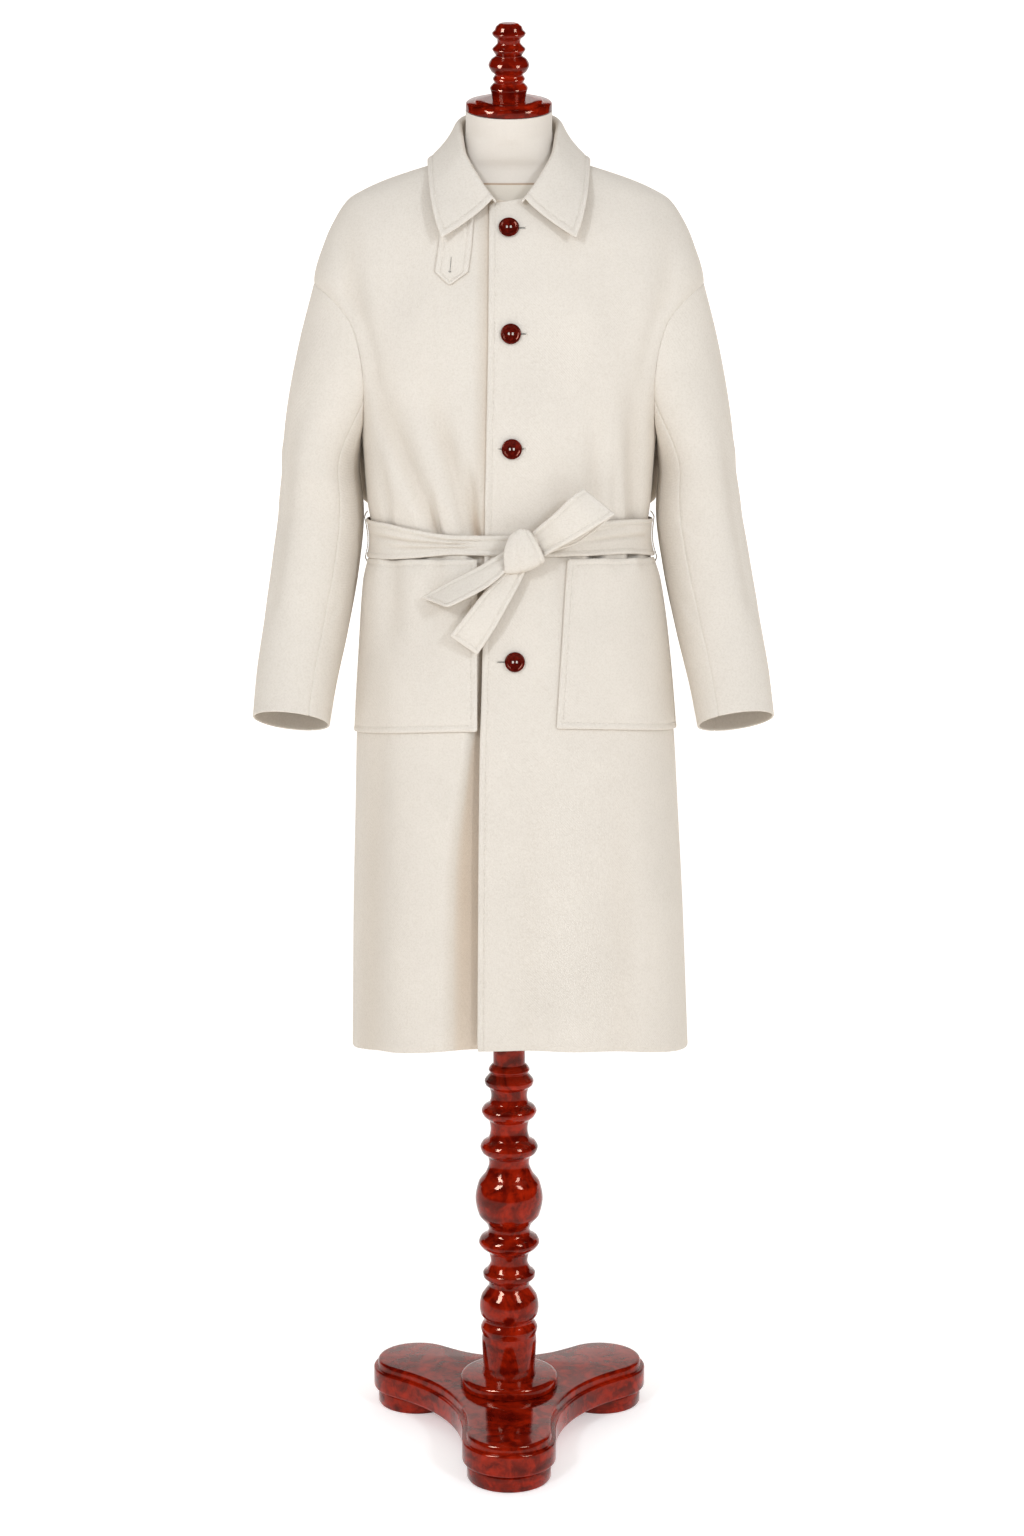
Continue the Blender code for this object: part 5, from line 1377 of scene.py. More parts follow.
@once("wool_cloth")
def wool_material(n, finishes):
    """Felted wool: a fine twill under a raised, softly mottled nap, shaded in its hollows."""
    cloth = n.add("UVMap", {"uv_map": "cloth"}).outputs["UV"]
    twill = n.wave("DIAGONAL", 190.0, 1.4, 1.0, cloth)
    nap, fuzz, cloud = n.noise(420.0, 5.0, 0.62), n.noise(1500.0, 2.0, 0.6), n.noise(10.0)
    base = n.ramp(cloud, (0.3, shade(finishes.wool, 0.965)), (0.7, shade(finishes.wool, 1.02)))
    flecks = n.ramp(nap, (0.3, (0.90, 0.885, 0.865)), (0.55, WHITE), (0.8, (1.03, 1.03, 1.03)))
    # Painted shade: the cloth's hollow depth darkens and warms the colour in creases and covered places, and
    # leaves ridges slightly lighter
    depth = n.add("Attribute", {"attribute_name": "hollow"}).outputs["Fac"]
    hollow = n.ramp(
        n.remap(depth, -0.0012, 0.0030),
        (0.0, WHITE),
        (0.36, (0.985, 0.983, 0.98)),
        (0.7, (0.90, 0.875, 0.845)),
        (1.0, (0.78, 0.66, 0.55)),
    )
    n.bump(n.weigh((nap, 1), (twill, 0.35), (fuzz, 0.5)), 0.35, 0.0006)
    n.finish(
        Base_Color=n.tint(1.0, n.tint(0.75, base, flecks), hollow),
        Roughness=n.remap(nap, low=0.86, high=0.97),
        Sheen_Weight=0.22,
        Sheen_Roughness=0.45,
        Sheen_Tint=(*shade(finishes.wool, 1.1), 1),
        Specular_IOR_Level=0.06,
    )


@once("sewing_thread")
def thread_material(n, finishes):
    """Matte sewing thread with a twist."""
    twist = n.wave("DIAGONAL", 520.0, 0.6)
    colour = n.ramp(twist, (0.0, shade(finishes.thread, 0.86)), (1.0, shade(finishes.thread, 1.04)))
    n.bump(twist, 0.3, 0.0002)
    n.finish(Base_Color=colour, Roughness=n.remap(n.noise(900.0), low=0.66, high=0.84), Sheen_Weight=0.15)


@once("buttonhole_slit_shade")
def slit_shade_material(n, finishes):
    """The shaded inside of a buttonhole."""
    grain = n.noise(700.0)
    colour = n.ramp(grain, (0.3, shade(finishes.thread, 0.10)), (0.7, shade(finishes.thread, 0.22)))
    n.bump(grain, 0.3, 0.0003)
    n.finish(Base_Color=colour, Roughness=0.95)


@once("burl_lacquer")
def lacquer_material(n, finishes):
    """Polished red-brown lacquer over a burl: clouded figure, dark flecks, and darker at the finial."""
    cloud, fleck = n.noise(27.0, 4.0, 0.58, 1.4), n.noise(120.0, 3.0, 0.6, 0.8)
    dark, light = finishes.lacquer_dark, finishes.lacquer_light
    # Painted shade: the figure darkens above 1.5 m, towards the finial
    height = n.add("SeparateXYZ", Vector=n.where).outputs["Z"]
    burl = n.weigh((cloud, 0.72), (fleck, 0.28))
    figure = n.ramp(
        n.maths("SUBTRACT", burl, n.remap(height, 1.5, 1.7, high=0.045)),
        (0.32, shade(dark, 0.8)),
        (0.45, shade(dark, 1.5)),
        (0.55, shade(light, 0.85)),
        (0.70, shade(light, 1.2)),
    )
    streak = n.ramp(n.wave("Z", 16.0, 9.0, 3.0), (0.0, shade(dark, 0.6)), (1.0, shade(light, 1.1)))
    n.bump(fleck, 0.04, 0.0004)
    n.finish(
        Base_Color=n.tint(0.25, figure, streak, "MIX"),
        Roughness=n.remap(fleck, low=0.06, high=0.12),
        Specular_IOR_Level=0.30,
        Specular_Tint=(1.0, 0.68, 0.56, 1),
    )


@once("polished_button")
def button_material(n, finishes):
    """Polished dark horn: cloudy maroon with fine streaks."""
    cloud, tones = n.noise(260.0, 4.0, 0.6, 1.2), ((0.32, 0.55), (0.52, 1.0), (0.72, 2.1))
    n.bump(n.noise(900.0), 0.05, 0.0002)
    n.finish(
        Base_Color=n.ramp(cloud, *((at, shade(finishes.button, factor)) for at, factor in tones)),
        Roughness=n.remap(cloud, low=0.10, high=0.18),
        Specular_IOR_Level=0.12,
        Specular_Tint=(1.0, 0.42, 0.32, 1),
    )


@once("form_jersey")
def cover_material(n, finishes):
    """The form's stretched cover: fine knit, paler above a brown seam round the neck."""
    apart = n.add("SeparateXYZ", Vector=n.where).outputs
    knit, nap = n.wave("Z", 210.0, 2.0, 1.0), n.noise(500.0, 4.0, 0.6)
    seam = n.maths("MULTIPLY_ADD", apart["Y"], NECK_SEAM_SLOPE, NECK_SEAM_HEIGHT)
    past = n.maths("SUBTRACT", apart["Z"], seam)
    lower, upper = (*shade(finishes.form_cover, 0.96), 1), (*shade(finishes.form_neck, 1.0), 1)
    tone = n.tint(n.remap(past, -0.0004, 0.0004), lower, upper, "MIX")
    off = n.remap(n.maths("ABSOLUTE", past), 0.0004, 0.0014)
    line = n.ramp(off, (0.0, (0.60, 0.46, 0.36)), (1.0, WHITE))
    worn = n.ramp(nap, (0.3, (0.94, 0.93, 0.92)), (0.7, WHITE))
    n.bump(n.weigh((knit, 0.5), (nap, 1)), 0.22, 0.0004)
    n.finish(
        Base_Color=n.tint(0.5, n.tint(1.0, tone, line), worn),
        Roughness=n.remap(nap, low=0.78, high=0.92),
        Sheen_Weight=0.12,
        Specular_IOR_Level=0.25,
    )


@once("studio_paper")
def floor_material(n, stage):
    """Plain pale paper with a barely seen tooth."""
    tooth = n.noise(60.0, 4.0)
    n.finish(
        Base_Color=n.ramp(tooth, (0.3, shade(stage.floor, 0.992)), (0.7, shade(stage.floor, 1.0))),
        Roughness=0.9,
        Specular_IOR_Level=0.1,
        Emission_Color=(*WHITE, 1),
        Emission_Strength=stage.glow,
    )


def sew(name, cloth, nodes, thickness=None):
    """A piece of cloth with its stitching, in place of its frame nodes."""
    scene = bpy.context.scene
    thickness = thickness or scene.coat_sizes.cloth_thickness
    finishes = scene.coat_finishes
    piece = add_piece(name, cloth.mesh(name, thickness), wool_material(finishes), "wool", *nodes)
    extras = [topstitch(f"{name}_stitches", cloth, finishes)] if cloth.distances else []
    flat, area = cloth.cut()


def panel_levels():
    """The rows of a front or back: close together at the waist, and where the shoulder turns over."""
    skirt = np.linspace(LOWER_ROWS[0], WAIST_FROM, SKIRT_LINES)[:-1]
    heights = np.concatenate([skirt, np.linspace(WAIST_FROM, UNDERARM, WAIST_LINES)])
    lower = np.interp(heights, LOWER_ROWS, np.arange(len(LOWER_ROWS))) / PANEL_ROWS
    rest = 1 - np.linspace(0, 1, UPPER_LINES)[1:]
    return np.concatenate([lower, 1 - (1 - LOWER_PART) * rest**SHOULDER_CLOSE])


def tab_face(u, v, offset):
    """The throat tab, from its point to its top."""
    height = TAB.keys[0] + (TAB.keys[-1] - TAB.keys[0]) * v**1.5
    x = TAB.at(height, "middle") + TAB.at(height, "half_width") * (2 * u - 1)
    return on_tab(x, height, offset)


def on_tab(x, height, offset):
    """A place at offset outside the throat tab."""
    return on_front(x, height, offset + TAB_LIFT + CLOTH)


def pocket_face(name):
    """A patch pocket's right side."""
    side, inner_top, inner_foot, outer_angle, top, foot = POCKETS[name]

    def face(u, v, offset):
        height = foot + (top - foot) * v
        inner_x = inner_foot + (inner_top - inner_foot) * v
        begin = ring_angle(side * inner_x, height) * side
        angle = begin + (radians(outer_angle) - begin) * u
        x, y = ring_point(side * angle, height)
        return body_points(x, y, height, -1, offset + POCKET_LIFT + CLOTH)

    return face


def band_face(rows, crown=0.0, slant=0.0, front=True):
    """The right side of a band that follows a short table of stations."""
    table = np.array(rows)
    gaps = np.linalg.norm(np.diff(table[:, :3], axis=0), axis=1)
    shares = np.concatenate([[0], np.cumsum(gaps)]) / gaps.sum()
    stations = Sections(BAND_COLUMNS, *np.column_stack([shares, table]))

    def face(u, v, offset):
        width = unit(stations.points(v, "width_"))
        before, after = np.maximum(v - BAND_STEP, 0), np.minimum(v + BAND_STEP, 1)
        ahead = unit(stations.points(after) - stations.points(before))
        facing = unit(np.cross(ahead, width))
        if front:
            facing = np.where(facing[..., 1:2] > 0, -facing, facing)
        aside = 2 * u - 1
        across = (stations.at(v, "half_width") * aside)[..., None]
        tip = (slant * aside * v**3)[..., None]
        rise = (offset - crown * aside**2)[..., None]
        return stations.points(v) + width * across + ahead * tip + facing * rise

    return face


def belt_face(u, v, offset):
    """The belt round the waist: u runs once round from the back."""
    angle = (u - 0.5) * 2 * pi
    degrees = np.degrees(angle)
    height = BELT.at(degrees, "bottom") + (BELT.at(degrees, "top") - BELT.at(degrees, "bottom")) * v
    x, y = ring_point(angle, height)
    return np.stack([x, y, height], -1) + outward(x, y, height) * (offset + BELT_LIFT + BELT_OUT)


def core_face(u, v, offset):
    """The knot's inner turns, rounded in at both ends."""
    turn = 2 * pi * u
    drawn = KNOT_END + (1 - KNOT_END) * (1 - np.abs(2 * v - 1) ** 4.5) ** 0.6
    y = -KNOT_CORE[1] * np.sign(np.cos(turn)) * np.abs(np.cos(turn)) ** KNOT_ROUND
    z = KNOT_CORE[2] * np.sign(np.sin(turn)) * np.abs(np.sin(turn)) ** KNOT_ROUND
    x = KNOT_CORE[0] * (2 * v - 1) + KNOT_TWIST * np.sin(turn)
    out = unit(np.stack([np.zeros_like(y), y, z], -1))
    points = np.stack([x, y * drawn, z * drawn], -1) + out * offset
    return points @ np.array(KNOT_TURN).T + np.array(KNOT_CENTRE)


def core_draw(u, v):
    """Soft creases round the inner turns."""
    turn, drawn = 2 * pi * u, 0.0
    for place, sway, lead, width, swing, swing_lead, depth in KNOT_CREASES:
        near = bell(v - place - sway * np.sin(turn + lead), width)
        drawn = drawn + depth * near * (1 - abs(swing) + swing * np.sin(turn + swing_lead))
    return drawn


def turn_over_draw(u, v):
    """Soft creases that run down the knot's outer turn."""
    drawn = 0.0
    for place, slope, width, begin, reach, depth in TURN_CREASES:
        drawn = drawn + depth * bell(u - place - slope * v, width) * ramp((v - begin) / reach)
    return drawn


def gather_draw(count, depth, reach):
    """Creases that run out from the knot along a band and fade."""

    def draw(u, v):
        total = np.zeros_like(u)
        for k in range(count):
            place = (k + 0.8) / (count + 0.6) + GATHER_SHIFT * (k % 2)
            total = total + bell(u - place, GATHER_WIDTH) * (1 - ramp(v / (reach * (1 - 0.2 * (k % 2)))))
        return depth * total

    return draw


def belt_carriers(thread):
    """Each carrier is two threads twisted together, from above the belt to below it."""
    steps = np.arange(len(CARRIER_HEIGHTS))
    fine = np.linspace(0, steps[-1], 150)
    height, out = np.interp(fine, steps, CARRIER_HEIGHTS), smooth(fine, steps, np.array(CARRIER_OUT))
    for name, side in SIDES:
        x, y = ring_point(np.full_like(height, side * CARRIER_ANGLE), height)
        normal = outward(x, y, height)
        path = np.stack([x, y, height], -1) + normal * out[:, None]
        run = np.gradient(path, axis=0)
        aside = unit(np.cross(unit(run), normal))
        lift = np.cross(unit(run), aside)
        twist = np.cumsum(np.linalg.norm(run, axis=1)) / STRAND_PITCH * 2 * pi
        strands = []
        for phase in (0.0, pi):
            turn = (twist + phase)[:, None]
            centre = path + STRAND_OFF * (aside * np.cos(turn) + lift * np.sin(turn))
            strands.append(mesh_from("strand", *tube(centre, STRAND_RADIUS)))
        mesh = joined_meshes(f"coat_belt_loop_{name}", strands)
        add_piece(f"coat_belt_loop_{name}", mesh, thread, "thread", f"belt_carrier_{name}")


def button_thread(name, place):
    """Two strands through each hole of a button."""
    turn = np.linspace(-1.2, 1.2, 9)
    strands = []
    for hole in (-HOLE_OFF, HOLE_OFF):
        for strand in (-STRAND_APART, STRAND_APART):
            x = np.full_like(turn, hole + strand)
            arc = np.stack([x, THREAD_REACH * np.sin(turn), THREAD_FOOT + THREAD_RISE * np.cos(turn)], -1)
            arc = np.array([place @ Vector(point) for point in arc])
            strands.append(mesh_from("thread", *tube(arc, THREAD_RADIUS)))
    return joined_meshes(name, strands)


def on_left_front(x, height, offset):
    """A place at offset outside the left front's right side."""
    points = on_front(x, height, offset)
    points[..., 1] -= SEAM
    return points


def buttonhole(name, surface, start, end, half_width=0.0005, eye=0.0, cord=0.0011):
    """A worked buttonhole from start to end on a surface: slit, eye and corded edge."""
    start, end = np.array(start), np.array(end)
    run = (end - start) / np.linalg.norm(end - start)
    side = np.array([-run[1], run[0]])
    finishes = bpy.context.scene.coat_finishes

    def slit(u, v, offset):
        wide = half_width * np.sqrt(np.clip(1 - (2 * u - 1) ** 8, 0.02, 1))
        wide = wide + eye * np.sqrt(np.clip(1 - ((u - EYE_PLACE) / EYE_PLACE) ** 2, 0, 1))
        at = start + (end - start) * u[..., None] + side * (wide * (2 * v - 1))[..., None]
        return surface(at[..., 0], at[..., 1], offset + SLIT_LIFT)

    # The slit and eye are a thin dark sheet of painted shade over the cloth
    cloth = Cloth(slit, np.linspace(0, 1, 41), np.linspace(0, 1, 4), ALL_EDGES)
    slit_mesh = cloth.mesh(name, SLIT_THICKNESS)
    add_piece(f"{name}_slit", slit_mesh, slit_shade_material(finishes), "thread")
    turn = np.linspace(0, pi, 9)
    reach = half_width + cord * CORD_OFF
    arc = reach * (side * np.cos(turn)[:, None] + run * np.sin(turn)[:, None])
    ring = np.concatenate([end + arc, start - arc, end + arc[:1]])
    line = [a + (b - a) * t for a, b in zip(ring, ring[1:]) for t in np.linspace(0, 1, 9)[:-1]]
    line = np.array(line + [line[0]])
    path = surface(line[:, 0], line[:, 1], CORD_LIFT)
    stitches(f"{name}_edge", [path], CORD_SPACING, CORD_LENGTH, cord, thread_material(finishes))


def form_mesh(name):
    """The dress form's cover, with a seam round the base of its neck."""
    around, rings = FORM_AROUND, []
    turns = np.arange(around) / around * 2 * pi
    for height in np.concatenate([[FORM_BOTTOM], *(np.linspace(*run) for run in FORM_RUNS)]):
        half_width, front, back, lean = (FORM.at(height, key) for key in FORM.values)
        x, y = oval(turns, half_width, front, back, 0.0, lean, 2 / FORM_SQUARENESS)
        rings.append(np.stack([x, y, np.full(around, height)], -1))
    tilt = np.array(Matrix.Rotation(NECK_TILT, 3, "X"))
    circle = FORM_NECK_RADIUS * np.stack([np.sin(turns), -np.cos(turns), np.zeros(around)], -1)
    foot, top = ((circle - [0, 0, sink]) @ tilt.T + np.array(CAP_CENTRE) for sink in (FORM_NECK_FOOT, SEAM))
    for start, end, count in ((rings[-1], foot, 22), (foot, top, 16)):
        rings += [start * (1 - share) + end * share for share in np.linspace(0, 1, count)[1:]]
    grid = soften(np.array(rings), FORM_SOFTENING)
    centre = grid.mean(1, keepdims=True)
    normals = grid_normals(grid, grid - centre, True)
    off = grid[..., 2] - (NECK_SEAM_HEIGHT + NECK_SEAM_SLOPE * (grid[..., 1] + FRAME_SHIFT[1]))
    grid = grid - normals * (FORM_SEAM_SINK * bell(off, FORM_SEAM_REACH))[..., None]
    index = np.arange(grid.shape[0] * around).reshape(-1, around)
    faces = grid_quads(index, True).tolist() + [index[0][::-1].tolist(), index[-1].tolist()]
    mesh = bpy.data.meshes.new(name)
    mesh.from_pydata((grid.reshape(-1, 3) + np.array(FRAME_SHIFT)).tolist(), [], faces)
    mesh.shade_smooth()
    mesh.set_sharp_from_angle(angle=radians(FORM_SHARP))
    return mesh


def plate_mesh(name):
    """The tripod plate with its moulded edge."""
    bm = bmesh.new()
    loops = []
    for inset, height in PLATE_EDGE:
        loops.append([bm.verts.new((*point, height)) for point in leg_outline(inset)])
    for first, second in zip(loops, loops[1:]):
        for i in range(len(first)):
            bm.faces.new((first[i - 1], first[i], second[i], second[i - 1]))
    bm.faces.new(loops[-1])
    bm.faces.new(loops[0][::-1])
    bmesh.ops.translate(bm, vec=FRAME_SHIFT, verts=bm.verts[:])
    bmesh.ops.recalc_face_normals(bm, faces=bm.faces[:])
    return mesh_of(bm, name, PLATE_SHARP)


def lacquered(name, node, profile, sides, place=None):
    """A turned and lacquered piece."""
    material = lacquer_material(bpy.context.scene.coat_finishes)
    add_piece(name, lathe(name, profile, sides, place), material, "lacquer", node)


def number_prop(title, text, default, unit="NONE"):
    return bpy.props.FloatProperty(name=title, description=text, default=default, min=0.0, unit=unit)


def colour_prop(title, text, default):
    limits = {"size": 3, "min": 0.0, "max": 1.0, "subtype": "COLOR"}
    return bpy.props.FloatVectorProperty(name=title, description=text, default=default, **limits)


class CoatSizes(bpy.types.PropertyGroup):
    """Sizes of the cloth and its stitching."""

    cloth_thickness: number_prop("Cloth", "Thickness of the coat's wool", CLOTH, "LENGTH")
    belt_thickness: number_prop("Belt", "Thickness of the belt's doubled wool", 0.003, "LENGTH")
    stitch_spacing: number_prop("Stitch spacing", "From one topstitch to the next", 0.004, "LENGTH")
    stitch_length: number_prop("Stitch length", "Length of one topstitch", 0.0031, "LENGTH")
    stitch_thickness: number_prop("Stitch thickness", "Thickness of the topstitches", 0.0008, "LENGTH")


class CoatFinishes(bpy.types.PropertyGroup):
    """Colours of the coat, the form and the stand."""

    wool: colour_prop("Wool", "The coat's cream wool", (0.718, 0.652, 0.567))
    thread: colour_prop("Thread", "Topstitching and belt loops", (0.70, 0.64, 0.555))
    button: colour_prop("Buttons", "Polished dark buttons", (0.075, 0.004, 0.002))
    form_cover: colour_prop("Form cover", "The dress form's cover", (0.715, 0.64, 0.535))
    form_neck: colour_prop("Form neck", "The cover above the neck seam", (0.713, 0.643, 0.560))
    lacquer_light: colour_prop("Lacquer, light", "The red of the stand's lacquer", (0.335, 0.0130, 0.002))
    lacquer_dark: colour_prop("Lacquer, dark", "The maroon of the stand's lacquer", (0.078, 0.0025, 0.0008))


class CoatStage(bpy.types.PropertyGroup):
    """The floor and the light."""

    floor: colour_prop("Floor", "The pale studio paper", (0.96, 0.93, 0.89))
    key_power: number_prop("Key light", "The softbox on the left", 33.0, "POWER")
    fill_power: number_prop("Fill light", "The softbox on the right", 30.0, "POWER")
    strip_power: number_prop("Strip lights", "The strips that shine in the lacquer", 105.0, "POWER")
    surround: number_prop("Surround", "Brightness of the white surround", 0.69)
    glow: number_prop("Floor glow", "Light of the paper's own", 0.38)


class COAT_OT_panels(bpy.types.Operator):
    """Builds the two fronts and the back"""

    bl_idname = "coat.panels"
    bl_label = "Fronts and Back"

    def execute(self, context):
        rows = panel_levels()

        def left_face(u, v, offset):
            return panel(u, v, -1, 1, left_edge, offset)

        def right_face(u, v, offset):
            return panel(u, v, -1, -1, right_edge, offset)

        def back_face(u, v, offset):
            points = panel(np.abs(2 * u - 1), v, 1, 1, left_edge, offset)
            mirrored = 2 * BODY.at(points[..., 2], "shift") - points[..., 0]
            points[..., 0] = np.where(u < 0.5, mirrored, points[..., 0])
            return points

        columns = spread(124, start=3.0, part=0.08)
        left = Cloth(left_face, columns, rows, ("start", "low"), ("start",), passes=PANEL_SOFTENING)
        # Painted shade in the fronts' and back's folds, from their fold depth
        left.hollow = FOLD_SHADE * front_draw(left.grid[..., 0], left.grid[..., 2])
        sew("coat_front_left", left, ["front_left"])
        right = Cloth(right_face, spread(120), rows, ("start", "low"), passes=PANEL_SOFTENING)
        # Painted shade on the right front, in its dip under the left front's edge and in a band beside that
        # edge
        across, height = right.grid[..., 0], right.grid[..., 2]
        past, width = across - CLOSING.at(height, "edge"), CLOSING.at(height, "dip_width")
        beside = ramp((past + EDGE_SHADE_WIDTH) / EDGE_SHADE_WIDTH)
        beside = beside * ramp((height - EDGE_SHADE_FROM) / EDGE_SHADE_FADE)
        dip = CLOSING.at(height, "dip") * ramp((past + width) / (width * DIP_SHADE_REACH))
        right.hollow = FOLD_SHADE * front_draw(across, height) + DIP_SHADE * dip + EDGE_SHADE * beside
        sew("coat_front_right", right, ["front_right"])
        back = Cloth(back_face, np.linspace(0, 1, 157), rows, ("low",), passes=PANEL_SOFTENING)
        back.hollow = FOLD_SHADE * back_draw(back.grid[..., 0], back.grid[..., 2])
        sew("coat_back", back, ["back"])
        return {"FINISHED"}


class COAT_OT_sleeves(bpy.types.Operator):
    """Builds each sleeve's top and under piece"""

    bl_idname = "coat.sleeves"
    bl_label = "Sleeves"

    def execute(self, context):
        rows = spread(150, 1.5, 1.5)
        for name, side in SIDES:
            for piece, count in (("top", 84), ("under", 42)):

                def face(u, v, offset):
                    return sleeve(sleeve_turn(2 * u - 1, piece), v, side, offset)

                def draw(u, v):
                    turn = sleeve_turn(2 * u - 1, piece)
                    depth = sleeve_draw(turn, sleeve_skin(turn, v, side)[..., 2])
                    head = SLEEVE_HEAD_SWELL * np.maximum(np.cos(turn), 0)
                    return depth * ramp(v / SLEEVE_FOLD_FADE) - head * ramp(v / SLEEVE_HEAD_FADE)

                columns = np.linspace(0, 1, count + 1)
                cloth = Cloth(face, columns, rows, ("high",), draw=draw)
                # Painted shade in the sleeve's folds, slightly lighter over the swell of its head
                cloth.hollow = FOLD_SHADE * draw(*np.meshgrid(columns, rows))
                sew(f"coat_sleeve_{name}_{piece}", cloth, [f"sleeve_{name}_{piece}"])
        return {"FINISHED"}


class COAT_OT_collar(bpy.types.Operator):
    """Builds the turned-down collar and the throat tab"""

    bl_idname = "coat.collar"
    bl_label = "Collar and Throat Tab"

    def execute(self, context):
        edges = ("start", "end", "high")
        runs = ((0, 0.34, 12), (0.35, 0.50, 26), (0.51, 1, 46))
        rows = np.concatenate([np.linspace(*run) for run in runs])

        def face(u, v, offset):
            return collar(2 * u - 1, v, offset + CLOTH / 2)

        columns = spread(210, 2.0, 2.0, 0.06)
        cloth = Cloth(face, columns, rows, edges, edges, COLLAR_STITCH, passes=COLLAR_SOFTENING)
        sew("coat_collar", cloth, ["collar"])
        tab = Cloth(tab_face, spread(36), spread(56), ALL_EDGES, LONG_EDGES, TAB_STITCH)
        sew("coat_throat_tab", tab, ["throat_tab"])
        return {"FINISHED"}


class COAT_OT_pockets(bpy.types.Operator):
    """Builds the two patch pockets"""

    bl_idname = "coat.pockets"
    bl_label = "Patch Pockets"

    def execute(self, context):
        columns, rows = spread(80, 2.4, 2.4, 0.08), spread(92, 2.4, 2.4, 0.08)
        for name, gapes in GAPES.items():

            def draw(u, v):
                mouth = ramp((v - MOUTH_FROM) / (1 - MOUTH_FROM))
                return -sum(depth * bell(u - place, GAPE_WIDTH) * mouth for place, depth in gapes)

            cloth = Cloth(pocket_face(name), columns, rows, ALL_EDGES, ALL_EDGES, draw=draw)
            # Painted shade from the folds of the front beneath the pocket
            cloth.hollow = FOLD_SHADE * front_draw(cloth.grid[..., 0], cloth.grid[..., 2])
            sew(f"coat_pocket_{name}", cloth, [f"pocket_{name}"])
        return {"FINISHED"}


class COAT_OT_belt(bpy.types.Operator):
    """Builds the belt, its knot, bow and tails, and the thread loops that carry it"""

    bl_idname = "coat.belt"
    bl_label = "Belt"

    def execute(self, context):
        thick = context.scene.coat_sizes.belt_thickness

        def band_draw(u, v):
            return fold_depth((u - 0.5) * 2 * pi * BELT_RADIUS, v * BELT_WIDTH, BELT_FOLDS)

        rows = spread(28, 1.6, 1.6)
        columns = np.arange(360) / 360
        band = Cloth(belt_face, columns, rows, ROUND_EDGES, ROUND_EDGES, BELT_STITCH, band_draw, True)
        sew("coat_belt_band", band, ["belt_band"], thick)

        rows = spread(40, 1.6, 1.6)
        core = Cloth(core_face, np.arange(72) / 72, rows, ROUND_EDGES, draw=core_draw, wrap=True)
        sew("coat_belt_knot", core, ["belt_knot"], thick)
        turn_over = band_face(KNOT_TURN_OVER, crown=0.0045, front=False)

        def over_face(u, v, offset):
            return turn_over(u, v, offset) + np.array(KNOT_CENTRE)

        columns, rows = spread(44, 1.8, 1.8), spread(90)
        over = Cloth(over_face, columns, rows, ALL_EDGES, ("end",), BELT_STITCH, turn_over_draw)
        sew("coat_belt_knot_turn", over, [], thick)

        columns = spread(40, 1.8, 1.8)
        loop, creases = band_face(BOW, front=False), gather_draw(3, 0.0011, 0.3)
        bow = Cloth(loop, columns, spread(120), ALL_EDGES, LONG_EDGES, BOW_STITCH, creases)
        sew("coat_belt_bow", bow, ["belt_bow_front", "belt_bow_back"], thick)
        stitched, creases = ("start", "end", "high"), gather_draw(2, 0.0009, 0.55)
        for name, stations, slant in (("upper", TAIL_UPPER, 0.007), ("lower", TAIL_LOWER, 0.0)):
            face = band_face(stations, crown=0.0008, slant=slant)
            tail = Cloth(face, columns, spread(80, 1.0, 2.0), ALL_EDGES, stitched, BOW_STITCH, creases)
            sew(f"coat_belt_tail_{name}", tail, [f"belt_tail_{name}"], thick)
        belt_carriers(thread_material(context.scene.coat_finishes))
        return {"FINISHED"}


class COAT_OT_buttons(bpy.types.Operator):
    """Builds the buttons, their thread and the worked buttonholes"""

    bl_idname = "coat.buttons"
    bl_label = "Buttons and Buttonholes"

    def execute(self, context):
        finishes = context.scene.coat_finishes
        for i, ((x, height), (left, right)) in enumerate(zip(BUTTONS, BUTTONHOLES), 1):
            spot = Vector(on_front(x, height, BUTTON_LIFT))
            normal = Vector(outward(x, depth_at(x, height, -1), height))
            place = Matrix.Translation(spot) @ normal.to_track_quat("Z", "Y").to_matrix().to_4x4()
            mesh = lathe(f"coat_button_{i}", BUTTON_SECTION, 56, place)
            add_piece(f"coat_button_{i}", mesh, button_material(finishes), "button", f"button_{i}")
            name = f"coat_button_{i}_thread"
            add_piece(name, button_thread(name, place), thread_material(finishes), "thread")
            buttonhole(f"coat_buttonhole_{i}", on_left_front, (x + left, height), (x + right, height))
        buttonhole("coat_tab_buttonhole", on_tab, *TAB_SLIT, half_width=0.00018, eye=0.0013, cord=0.0006)
        return {"FINISHED"}


class COAT_OT_form(bpy.types.Operator):
    """Builds the dress form, its neck cap and the finial"""

    bl_idname = "coat.form"
    bl_label = "Dress Form"

    def execute(self, context):
        cover = cover_material(context.scene.coat_finishes)
        add_piece("form_body", form_mesh("form_body"), cover, "form_cover", "dress_form")
        tilt = Matrix.Translation(CAP_CENTRE) @ Matrix.Rotation(NECK_TILT, 4, "X")
        lacquered("form_neck_cap", "neck_cap", CAP_SECTION, 112, tilt)
        seat = tilt @ Matrix.Translation((0, 0, FINIAL_SEAT))
        lacquered("form_finial", "finial", fine_profile(FINIAL_PROFILE, 0.0008) + FINIAL_TIP, 80, seat)
        return {"FINISHED"}


